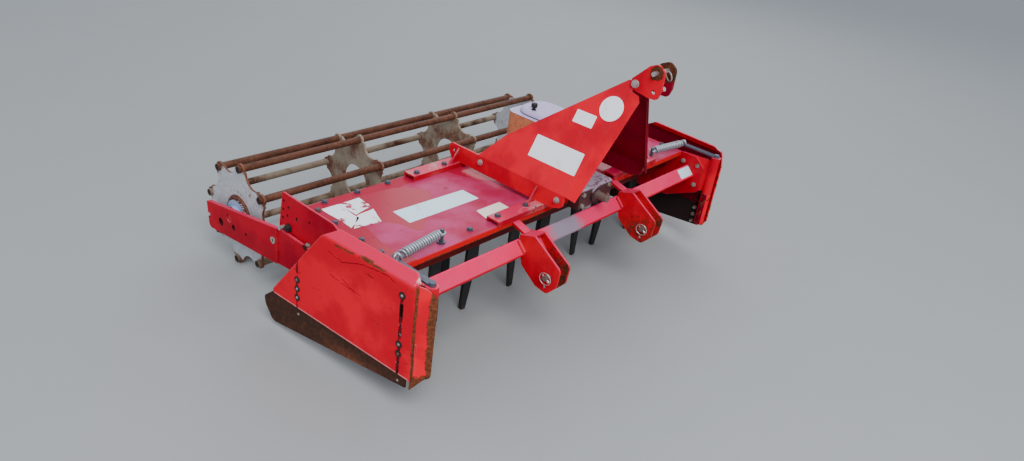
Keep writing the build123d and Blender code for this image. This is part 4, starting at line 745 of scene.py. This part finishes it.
def hex_bolt(shape, across, height, washer):
    """Hexagon head on a washer of the given radius, chamfered at its top."""
    bore = across * 0.3
    turned(shape, [(bore, 0), (washer - 0.4, 0), (washer, 0.4), (washer, WASHER - 0.5),
                   (washer - 0.5, WASHER), (bore, WASHER)])
    corner = across / 2 / cos(pi / 6) * MM
    made = bmesh.ops.create_cone(
        shape, cap_ends=True, segments=6, radius1=corner, radius2=corner, depth=height * MM,
        matrix=Matrix.Translation((0, 0, (WASHER + height / 2) * MM)))
    under_top = (WASHER - 0.1 + height) * MM
    rim = [edge for edge in shape.edges
           if edge.verts[0] in made["verts"] and all(vert.co.z > under_top for vert in edge.verts)]
    bmesh.ops.bevel(shape, geom=rim, offset=across * 0.07 * MM, affect="EDGES", segments=2, profile=0.5,
                    material=-1)


def nut_on_stud(shape, across, height, stud, reach):
    """Nut and washer with the stud's end standing out."""
    hex_bolt(shape, across, height, across * 0.62)
    top = height + WASHER
    turned(shape, [(0, top), (stud, top), (stud, top + reach - 1), (stud - 1, top + reach), (0, top + reach)])


def round_head(shape, radius, height):
    """Shallow domed head, as on a coach bolt."""
    rows = [(0, height)]
    rows += [(radius * sin(step * pi / 12), height * cos(step * pi / 12)) for step in range(1, 6)]
    rows += [(radius, 0), (0, 0)]
    turned(shape, rows, 20)


def wire_end(shape, radius, wire):
    """Cross-section of a wire at a radius from Z: its vertices and edges."""
    made = bmesh.ops.create_circle(shape, segments=10, radius=wire * MM, matrix=(
        Matrix.Translation((radius * MM, 0, 0)) @ Matrix.Rotation(pi / 2, 4, "X")))
    edges = {edge for vert in made["verts"] for edge in vert.link_edges}
    return made["verts"] + list(edges)


def wire_ring(shape, radius, wire, share=1.0):
    """Round wire bent into a ring about Z, or part of one."""
    bmesh.ops.spin(shape, geom=wire_end(shape, radius, wire), axis=(0, 0, 1), cent=(0, 0, 0),
                   steps=int(40 * share), angle=2 * pi * share, use_merge=share == 1.0)


def coil(shape, radius, wire, turns, pitch):
    """Helical spring about Z, wound upward from the origin."""
    steps = 24 * turns
    bmesh.ops.spin(shape, geom=wire_end(shape, radius, wire), axis=(0, 0, 1), cent=(0, 0, 0), steps=steps,
                   dvec=(0, 0, pitch * turns / steps * MM), angle=2 * pi * turns)


def stamp(shape, mesh, matrix):
    """Add a copy of a template mesh to a shape at a place."""
    count = len(shape.verts)
    shape.from_mesh(mesh)
    shape.verts.ensure_lookup_table()
    bmesh.ops.transform(shape, matrix=matrix, verts=shape.verts[count:])


SHARP_EDGE = radians(35)
LABEL_LIFT = 0.25


def hand_over(name, shape, finish, body):
    """Make the piece of a shape, give it its finish and set it on its body, if it rides on one."""
    mesh = bpy.data.meshes.new(name)
    shape.to_mesh(mesh)
    shape.free()
    mesh.shade_smooth()
    mesh.set_sharp_from_angle(angle=SHARP_EDGE)
    mesh.materials.append(FINISHES[finish])
    piece = bpy.data.objects.new(name, mesh)
    bpy.context.scene.collection.objects.link(piece)
    if body:
        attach(piece, body)
    return piece


def set_out(name, rows, finish, body):
    """One piece of many fasteners from rows of (template, place, axis)."""
    shape = bmesh.new()
    for count, (mesh, place, axis) in enumerate(rows):
        stamp(shape, mesh, aim(place, axis, turn=0.4 * count))
    return hand_over(name, shape, finish, body)


def sheet(name, corners, outward, thickness, finish, torn=0.0, seed=1, rounded=4.0):
    """Label over a polygon of corners, in millimetres, standing off along its normal."""
    shape = bmesh.new()
    normal = Vector(outward).normalized()
    verts = [shape.verts.new((Vector(corner) + normal * LABEL_LIFT) * MM) for corner in corners]
    face = shape.faces.new(verts)
    if face.normal.dot(normal) < 0:
        bmesh.ops.reverse_faces(shape, faces=[face])
    if torn:
        bmesh.ops.subdivide_edges(shape, edges=shape.edges[:], cuts=9, fractal=torn, seed=seed)
    elif rounded:
        bmesh.ops.bevel(shape, geom=shape.verts[:], offset=rounded * MM, affect="VERTICES", segments=3,
                        profile=0.5, material=-1)
    bmesh.ops.recalc_face_normals(shape, faces=shape.faces)
    made = bmesh.ops.extrude_face_region(shape, geom=shape.faces[:], use_keep_orig=True)
    lifted = [part for part in made["geom"] if isinstance(part, bmesh.types.BMVert)]
    bmesh.ops.translate(shape, vec=normal * thickness * MM, verts=lifted)
    bmesh.ops.recalc_face_normals(shape, faces=shape.faces)
    return hand_over(name, shape, finish, "frame")


class StageSizes(bpy.types.PropertyGroup):
    """Camera, floor and light."""

    camera_place: bpy.props.FloatVectorProperty(
        name="Camera place", description="Where the camera stands", default=(-2.4984, -2.1602, 1.9109),
        subtype="TRANSLATION", unit="LENGTH")
    heading: bpy.props.FloatProperty(
        name="Heading", description="Turn from the front-to-rear line toward the left side",
        default=radians(52.2306), subtype="ANGLE", unit="ROTATION")
    tilt: bpy.props.FloatProperty(
        name="Tilt", description="How far the camera looks down", default=radians(28.1620),
        subtype="ANGLE", unit="ROTATION")
    roll: bpy.props.FloatProperty(
        name="Roll", description="Turn of the camera about its own line of sight", default=radians(8.3597),
        subtype="ANGLE", unit="ROTATION")
    lens: bpy.props.FloatProperty(
        name="Lens", description="Focal length on a 36 mm sensor", default=27.125, unit="CAMERA")
    floor_size: bpy.props.FloatProperty(
        name="Floor size", description="Side of the square floor", default=400.0, unit="LENGTH")
    floor_colour: bpy.props.FloatVectorProperty(
        name="Floor colour", description="Pale colour of the floor", default=(0.36, 0.37, 0.37),
        subtype="COLOR", min=0.0, max=1.0)


class FastenerSizes(bpy.types.PropertyGroup):
    """Bolts, nuts and pins."""

    lid_bolt: bpy.props.FloatProperty(
        name="Lid bolt", description="Width across the flats of the lid's bolts, mm", default=19.0, min=8.0)
    plate_bolt: bpy.props.FloatProperty(
        name="Plate bolt", description="Width across the flats of the plates' bolts, mm", default=18.0,
        min=8.0)
    shield_bolt: bpy.props.FloatProperty(
        name="Shield bolt", description="Radius of the shields' round bolt heads, mm", default=10.0, min=4.0)
    ring_radius: bpy.props.FloatProperty(
        name="Linch ring", description="Radius of the rings on the hitch pins, mm", default=26.0, min=8.0)
    ring_wire: bpy.props.FloatProperty(
        name="Ring wire", description="Radius of the rings' wire, mm", default=1.9, min=0.5)


class SpringSizes(bpy.types.PropertyGroup):
    """Return springs of the side shields."""

    coil_radius: bpy.props.FloatProperty(
        name="Coil radius", description="Radius at the wire's middle, mm", default=14.0, min=5.0)
    wire: bpy.props.FloatProperty(
        name="Wire", description="Radius of the wire, mm", default=4.6, min=0.5)
    turns: bpy.props.IntProperty(name="Turns", description="Number of close turns", default=15, min=4)
    pitch: bpy.props.FloatProperty(name="Pitch", description="Rise of one turn, mm", default=12.8, min=1.0)


class LabelSizes(bpy.types.PropertyGroup):
    """Blank labels."""

    film: bpy.props.FloatProperty(
        name="Film", description="Thickness of a label, mm", default=0.35, min=0.05)
    tear: bpy.props.FloatProperty(
        name="Tear", description="How ragged a torn label's edge is", default=0.25, min=0.0, max=1.0)


# Sky and lamps, in metres and watts
SKY_COLOUR, SKY_STRENGTH = rgb(0.80, 0.88, 1.0), 0.85
LAMP_AIM = Vector((0, 0, 0.4))
LAMPS = [
    # name, place, size, watts
    ("key_panel", (-3.0, -4.5, 6.0), 4.0, 480),
    ("fill_panel", (5.0, 3.0, 5.0), 5.0, 160),
]


def lay_floor(scene, sizes):
    """Plain pale floor."""
    shape = bmesh.new()
    bmesh.ops.create_grid(shape, x_segments=1, y_segments=1, size=sizes.floor_size / 2)
    mesh = bpy.data.meshes.new("floor")
    shape.to_mesh(mesh)
    shape.free()
    finish = Finish("floor")
    pale = rgb(*sizes.floor_colour)
    mottled = finish.mix(finish.noise(3, detail=6), pale, dimmed(pale, 0.95, 0.95, 0.95))
    mesh.materials.append(finish.done(mottled, 0.85))
    floor = bpy.data.objects.new("floor", mesh)
    scene.collection.objects.link(floor)


def hang_lamps(scene):
    """Soft sky and two large lamps."""
    scene.world = bpy.data.worlds.new("soft_sky")
    scene.world.use_nodes = True
    sky = scene.world.node_tree.nodes["Background"]
    sky.inputs["Color"].default_value = SKY_COLOUR
    sky.inputs["Strength"].default_value = SKY_STRENGTH
    for name, place, size, watts in LAMPS:
        light = bpy.data.lights.new(name, "AREA")
        light.size = size
        light.energy = watts
        lamp = bpy.data.objects.new(name, light)
        sight = (LAMP_AIM - Vector(place)).to_track_quat("-Z", "Y")
        lamp.matrix_world = Matrix.Translation(place) @ sight.to_matrix().to_4x4()
        scene.collection.objects.link(lamp)


def set_camera(scene, sizes):
    """Camera at the photograph's angle."""
    camera = bpy.data.cameras.new("camera")
    camera.sensor_width = 36.0
    camera.lens = sizes.lens
    eye = bpy.data.objects.new("camera", camera)
    eye.matrix_world = (
        Matrix.Translation(sizes.camera_place)
        @ Matrix.Rotation(-sizes.heading, 4, "Z")
        @ Matrix.Rotation(pi / 2 - sizes.tilt, 4, "X")
        @ Matrix.Rotation(sizes.roll, 4, "Z"))
    scene.collection.objects.link(eye)
    scene.camera = eye


class MakeStage(bpy.types.Operator):
    """Make the floor, the light and the camera"""

    bl_idname = "harrow.stage"
    bl_label = "Stage"

    def execute(self, context):
        sizes = context.scene.harrow_stage
        lay_floor(context.scene, sizes)
        hang_lamps(context.scene)
        set_camera(context.scene, sizes)
        return {"FINISHED"}


class MixFinishes(bpy.types.Operator):
    """Make the finishes and give every CAD node its own"""

    bl_idname = "harrow.finishes"
    bl_label = "Finishes"

    def execute(self, context):
        FINISHES.update(make_finishes())
        for finish, nodes in NODE_FINISHES.items():
            for node in nodes:
                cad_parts[node].data.materials[0] = FINISHES[finish]
        return {"FINISHED"}


SIDES = (("right", -1), ("left", 1))

# Places of the fasteners, in millimetres
LID_TOP = 506.0
LID_BOLT_PLACES = [
    # X, Y on the right half; the left half mirrors them
    (-869, 28), (-711, 28), (-554, 28), (-931, -14), (-938, -128), (-938, -283), (-938, -390), (-557, -455),
]
LEFT_RAIL_START, LEFT_RAIL_END = 330, 700
RAIL_BOLT_PLACES = [
    # X, Y on the right rails; the left rails mirror them about the headstock
    (-416, 4), (-253, 6), (-416, -466), (-251, -468),
]
RAIL_TOP = 528.0
HEADSTOCK_X, FOOT_X, HEAD_X = 120.0, -178.0, 74.0
FOOT_BOLT_PLACES = [
    # Y, Z
    (-136, 574), (-564, 572),
]
SPACER_Y, SPACER_Z = -664, 1052
TOP_RING_PLACE, TOP_RING_AXIS = (148, -760, 1101), (1, -0.5, 0.3)
LINCH_PIN_PLACES = [
    # side, X of the hitch pin's end
    ("right", -389.0), ("left", 293.0),
]
HITCH_PIN_Y, HITCH_PIN_Z = -725, 365
END_FACE_X, END_INNER_X, ARM_FACE_X = 963.0, 955.0, 987.0
BRACKET_BOLT_PLACES = [
    # Y, Z
    (-523, 463), (-607, 467), (-611, 362),
]
ARM_PIVOT, STOP_PIN, STOP_LOCK, ARM_LAP = (-1, 359), (160, 369.3), (127, 379), (202, 296)
FRONT_COLUMN, REAR_COLUMN = 60.0, 591.0
HOLE_Z, HOLE_PITCH = 174.0, 39.5
SPLAY = radians(4)
SPRING_Z = 549.6
SPRING_POST, LEVER_EYE = (716, -462), (971, -498)
BREATHER_PLACE = (55, -204, 792)
FLANGE_BOLT_PLACES = [(x, y) for x in (-10, 250) for y in (-320, -220, -130)]
FLANGE_TOP = 522
HOUSING_FACE_Y, HOUSING_BOLT_X = -556, 95


def across_headstock(x):
    """X of a place mirrored about the headstock's middle."""
    return 2 * HEADSTOCK_X - x


def on_shield(column, row, side, skin=0.0):
    """Place of a hole on a shield's outer face, side -1 at the right, and its outward direction."""
    outward = Vector((side * cos(SPLAY), -sin(SPLAY), 0))
    along = Vector((side * sin(SPLAY), cos(SPLAY), 0))
    corner = Vector((side * FOLD_X / MM, FOLD_Y / MM, HOLE_Z + row * HOLE_PITCH))
    return corner + along * column + outward * skin, outward


class LidBolts(bpy.types.Operator):
    """Bolts round the lid and through the rails"""

    bl_idname = "harrow.lid_bolts"
    bl_label = "Lid bolts"

    def execute(self, context):
        sizes = context.scene.harrow_fasteners
        bolt = template(hex_bolt, sizes.lid_bolt, 8, sizes.lid_bolt * 0.72)
        rows = [(bolt, (side * x, y, LID_TOP), (0, 0, 1)) for side in (-1, 1) for x, y in LID_BOLT_PLACES
                if not LEFT_RAIL_START < side * x < LEFT_RAIL_END]
        set_out("lid_bolts", rows, "dark_bolt", "frame")
        rails = [(bolt, (x, y, RAIL_TOP), (0, 0, 1)) for x, y in RAIL_BOLT_PLACES]
        rails += [(bolt, (across_headstock(x), y, RAIL_TOP), (0, 0, 1)) for x, y in RAIL_BOLT_PLACES]
        set_out("rail_bolts", rails, "dark_bolt", "frame")
        return {"FINISHED"}


class HeadstockBolts(bpy.types.Operator):
    """Foot bolts, the spacer's bolt and the top link pin's linch rings"""

    bl_idname = "harrow.headstock_bolts"
    bl_label = "Headstock bolts"

    def execute(self, context):
        sizes = context.scene.harrow_fasteners
        bolt = template(hex_bolt, sizes.plate_bolt, 9, sizes.plate_bolt * 0.8)
        rows = [(bolt, (FOOT_X, y, z), (-1, 0, 0)) for y, z in FOOT_BOLT_PLACES]
        rows += [(bolt, (across_headstock(FOOT_X), y, z), (1, 0, 0)) for y, z in FOOT_BOLT_PLACES]
        set_out("foot_bolts", rows, "steel", "frame")
        big = template(hex_bolt, 24, 10, 17)
        head = [(big, (HEAD_X, SPACER_Y, SPACER_Z), (-1, 0, 0)),
                (big, (across_headstock(HEAD_X), SPACER_Y, SPACER_Z), (1, 0, 0))]
        set_out("spacer_bolts", head, "steel", "frame")
        ring = template(wire_ring, 19, 3.0)
        set_out("top_link_ring", [(ring, TOP_RING_PLACE, TOP_RING_AXIS)], "steel", "frame")
        return {"FINISHED"}


class HitchRings(bpy.types.Operator):
    """Linch pins and rings on the lower hitch pins"""

    bl_idname = "harrow.hitch_rings"
    bl_label = "Hitch rings"

    def execute(self, context):
        sizes = context.scene.harrow_fasteners
        ring = template(wire_ring, sizes.ring_radius, sizes.ring_wire)
        peg = template(turned, [(0, -18), (3.5, -18), (4, -17), (4, 15), (6, 16), (6, 21), (5, 23), (0, 23)])
        for side, x in LINCH_PIN_PLACES:
            rows = [(ring, (x - 8, HITCH_PIN_Y, HITCH_PIN_Z - 3), (1, 0.05, 0.08)),
                    (peg, (x - 6, HITCH_PIN_Y, HITCH_PIN_Z), (0, -0.8, -0.45))]
            set_out(f"linch_pin_{side}", rows, "steel", "frame")
        return {"FINISHED"}


class ShieldBolts(bpy.types.Operator):
    """Round bolt heads and their nuts on the shields and wear plates"""

    bl_idname = "harrow.shield_bolts"
    bl_label = "Shield bolts"

    def execute(self, context):
        sizes = context.scene.harrow_fasteners
        rim = sizes.shield_bolt * 1.4
        dome = template(round_head, sizes.shield_bolt * 0.58, 4)
        washer = template(turned, [(4, 0), (rim, 0), (rim, 2.2), (4, 2.2)])
        nut = template(nut_on_stud, 16, 8, 4.5, 8)
        outside = [(FRONT_COLUMN, row) for row in (8, 3, 2)] + [(REAR_COLUMN, row) for row in (3, 2, 1)]
        low = [(FRONT_COLUMN, -1), (REAR_COLUMN, 0), (REAR_COLUMN, -1)]
        inside = [(column, row) for column in (FRONT_COLUMN, REAR_COLUMN) for row in (1, 0, -1)]
        for side, sign in SIDES:
            domes, washers, nuts = [], [], []
            for column, row in outside:
                place, outward = on_shield(column, row, sign)
                washers.append((washer, place, outward))
                domes.append((dome, place + outward * 2, outward))
            for column, row in low:
                place, outward = on_shield(column, row, sign, skin=-5)
                domes.append((dome, place, outward))
            for column, row in inside:
                place, outward = on_shield(column, row, sign, skin=-11)
                nuts.append((nut, place, -outward))
            set_out(f"shield_bolts_{side}", domes, "old_bolt", f"shield_{side}")
            set_out(f"shield_washers_{side}", washers, "black", f"shield_{side}")
            set_out(f"shield_nuts_{side}", nuts, "old_bolt", f"shield_{side}")
        return {"FINISHED"}


class EndPlateBolts(bpy.types.Operator):
    """Bolts of the end plates, the hinge brackets and the roller arms"""

    bl_idname = "harrow.end_plate_bolts"
    bl_label = "End plate bolts"

    def execute(self, context):
        sizes = context.scene.harrow_fasteners
        bolt = template(hex_bolt, sizes.plate_bolt, 8, sizes.plate_bolt * 0.7)
        nut = template(nut_on_stud, 30, 14, 9.0, 1)
        lock = template(nut_on_stud, 26, 11, 7.0, 5)
        washer = template(turned, [(6, 0), (15, 0), (15, 3), (6, 3), (6, 0)])
        plug = template(turned, [(0, 0), (6.5, 0), (6.5, 1.5), (0, 1.5)])
        for side, sign in SIDES:
            outward, inward = (sign, 0, 0), (-sign, 0, 0)
            rows = [(bolt, (sign * END_INNER_X, *place), inward) for place in BRACKET_BOLT_PLACES]
            rows.append((bolt, (sign * END_FACE_X, *ARM_PIVOT), outward))
            set_out(f"bracket_bolts_{side}", rows, "old_bolt", "frame")
            pin_end = (sign * END_INNER_X, *STOP_PIN)
            set_out(f"stop_nut_{side}", [(nut, pin_end, inward)], "dark_bolt", "frame")
            lock_place = (sign * END_FACE_X, *STOP_LOCK)
            set_out(f"stop_lock_nut_{side}", [(lock, lock_place, outward)], "black", "frame")
            lap = (sign * ARM_FACE_X, *ARM_LAP)
            set_out(f"arm_washer_{side}", [(washer, lap, outward)], "steel", "roller_frame")
            set_out(f"arm_plug_{side}", [(plug, lap, outward)], "black", "roller_frame")
        return {"FINISHED"}


class ReturnSprings(bpy.types.Operator):
    """Coil springs with hooks between the lid's posts and the shield levers"""

    bl_idname = "harrow.return_springs"
    bl_label = "Return springs"

    def execute(self, context):
        sizes = context.scene.harrow_springs
        close = template(coil, sizes.coil_radius, sizes.wire, sizes.turns, sizes.pitch)
        wide = template(coil, sizes.coil_radius * 0.9, sizes.wire, 2, sizes.pitch * 2)
        hook = template(wire_ring, 13, sizes.wire, 0.8)
        upward, first_turn = Vector((0, 0, 1)), 20
        last_turn = first_turn + sizes.turns * sizes.pitch
        for side, sign in SIDES:
            post = Vector((sign * SPRING_POST[0], SPRING_POST[1], SPRING_Z))
            eye = Vector((sign * LEVER_EYE[0], LEVER_EYE[1], SPRING_Z))
            run = (eye - post).normalized()
            shape = bmesh.new()
            stamp(shape, close, aim(post + run * first_turn, run))
            stamp(shape, wide, aim(post + run * last_turn, run))
            stamp(shape, hook, aim(post + run * 2, upward, turn=0.6))
            stamp(shape, hook, aim(eye - run * 8, upward.cross(run), turn=1.2))
            piece = hand_over(f"return_spring_{side}", shape, "spring", None)
            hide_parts(f"spring_{side}")
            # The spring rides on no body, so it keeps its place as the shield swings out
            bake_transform(piece)
        return {"FINISHED"}


# Corners of the labels, in millimetres
LEANING_LABELS = [
    # name, Y and climb up the slope of each corner
    ("headstock_plate_label", [(-352, 187), (-597, 187), (-597, 90), (-352, 90)]),
    ("headstock_small_label", [(-474, 344), (-571, 344), (-571, 290), (-474, 290)]),
]
ROUND_LABEL_Y, ROUND_LABEL_CLIMB, ROUND_LABEL_RADIUS = -614, 393, 52
LEAN, LEAN_FOOT_Z = radians(29.91), 602
LID_LABELS = [
    # name, finish, torn, X and Y of each corner
    ("lid_long_label", "blue_label", False, [(-702, -178), (-334, -192), (-333, -286), (-708, -283)]),
    ("lid_cream_label", "cream_label", False, [(-421, -358), (-285, -358), (-287, -418), (-437, -425)]),
    ("lid_torn_label_1", "torn_label", True, [(-911, -12), (-838, -12), (-838, -146), (-911, -190)]),
    ("lid_torn_label_2", "torn_label", True, [(-832, -12), (-735, -12), (-742, -96), (-832, -118)]),
    ("lid_torn_label_3", "torn_label", True, [(-905, -200), (-832, -126), (-748, -120), (-790, -215)]),
]
FIRST_SEED = 3
BEAM_LABEL = [(843, -557, 447.5), (950, -557, 447.5), (950, -592, 412.5), (843, -592, 412.5)]


def up_slope(y, climb):
    """Place on the right headstock plate's leaning face."""
    return (FOOT_X + climb * sin(LEAN), y, LEAN_FOOT_Z + climb * cos(LEAN))


class BlankLabels(bpy.types.Operator):
    """Blank labels on the lid, the headstock and the beam"""

    bl_idname = "harrow.blank_labels"
    bl_label = "Blank labels"

    def execute(self, context):
        sizes = context.scene.harrow_labels
        outward = (-cos(LEAN), 0, sin(LEAN))
        for name, corners in LEANING_LABELS:
            sheet(name, [up_slope(*corner) for corner in corners], outward, sizes.film, "white_label")
        turns = [step * pi / 18 for step in range(36)]
        disc = [up_slope(ROUND_LABEL_Y + ROUND_LABEL_RADIUS * cos(turn),
                         ROUND_LABEL_CLIMB + ROUND_LABEL_RADIUS * sin(turn)) for turn in turns]
        sheet("headstock_round_label", disc, outward, sizes.film, "white_label", rounded=0)
        for seed, (name, finish, torn, corners) in enumerate(LID_LABELS, FIRST_SEED):
            places = [(x, y, LID_TOP) for x, y in corners]
            sheet(name, places, (0, 0, 1), sizes.film, finish, torn=torn * sizes.tear, seed=seed)
        sheet("beam_label", BEAM_LABEL, (0, -1, 1), sizes.film, "blue_label")
        return {"FINISHED"}


class GearboxFittings(bpy.types.Operator):
    """Breather and bolts of the gearbox"""

    bl_idname = "harrow.gearbox_fittings"
    bl_label = "Gearbox fittings"

    def execute(self, context):
        breather = template(turned, [
            # radius, height
            (0, -4), (10, -4), (10, 6), (7, 8), (7, 14), (13, 15), (14, 17), (14, 30), (12, 33), (0, 33)])
        set_out("breather", [(breather, BREATHER_PLACE, (0, 0, 1))], "black", "frame")
        bolt = template(hex_bolt, 17, 8, 11)
        rows = [(bolt, (x, y, FLANGE_TOP), (0, 0, 1)) for x, y in FLANGE_BOLT_PLACES]
        rows += [(bolt, (HEADSTOCK_X + side * HOUSING_BOLT_X, HOUSING_FACE_Y, height), (0, -1, 0))
                 for side in (-1, 1) for height in (484, 536)]
        set_out("gearbox_bolts", rows, "old_bolt", "frame")
        return {"FINISHED"}


class HarrowPanel(bpy.types.Panel):
    """Operators of the harrow's looks"""

    bl_idname = "VIEW3D_PT_harrow"
    bl_label = "Harrow"
    bl_space_type = "VIEW_3D"
    bl_region_type = "UI"
    bl_category = "Harrow"

    def draw(self, context):
        for operator in OPERATORS:
            self.layout.operator(operator.bl_idname)


OPERATORS = [MakeStage, MixFinishes, LidBolts, HeadstockBolts, HitchRings, ShieldBolts, EndPlateBolts,
             ReturnSprings, BlankLabels, GearboxFittings]
SETTINGS = {
    "harrow_stage": StageSizes,
    "harrow_fasteners": FastenerSizes,
    "harrow_springs": SpringSizes,
    "harrow_labels": LabelSizes,
}


def register():
    """Add the classes and the settings to Blender."""
    for kind in [*SETTINGS.values(), *OPERATORS, HarrowPanel]:
        bpy.utils.register_class(kind)
    for name, kind in SETTINGS.items():
        setattr(bpy.types.Scene, name, bpy.props.PointerProperty(type=kind))


def unregister():
    """Take the classes and the settings out again."""
    for name in SETTINGS:
        delattr(bpy.types.Scene, name)
    for kind in reversed([*SETTINGS.values(), *OPERATORS, HarrowPanel]):
        bpy.utils.unregister_class(kind)


def main():
    """Run every operator in order."""
    register()
    for operator in OPERATORS:
        group, name = operator.bl_idname.split(".")
        getattr(getattr(bpy.ops, group), name)()


if __name__ == "__main__":
    main()
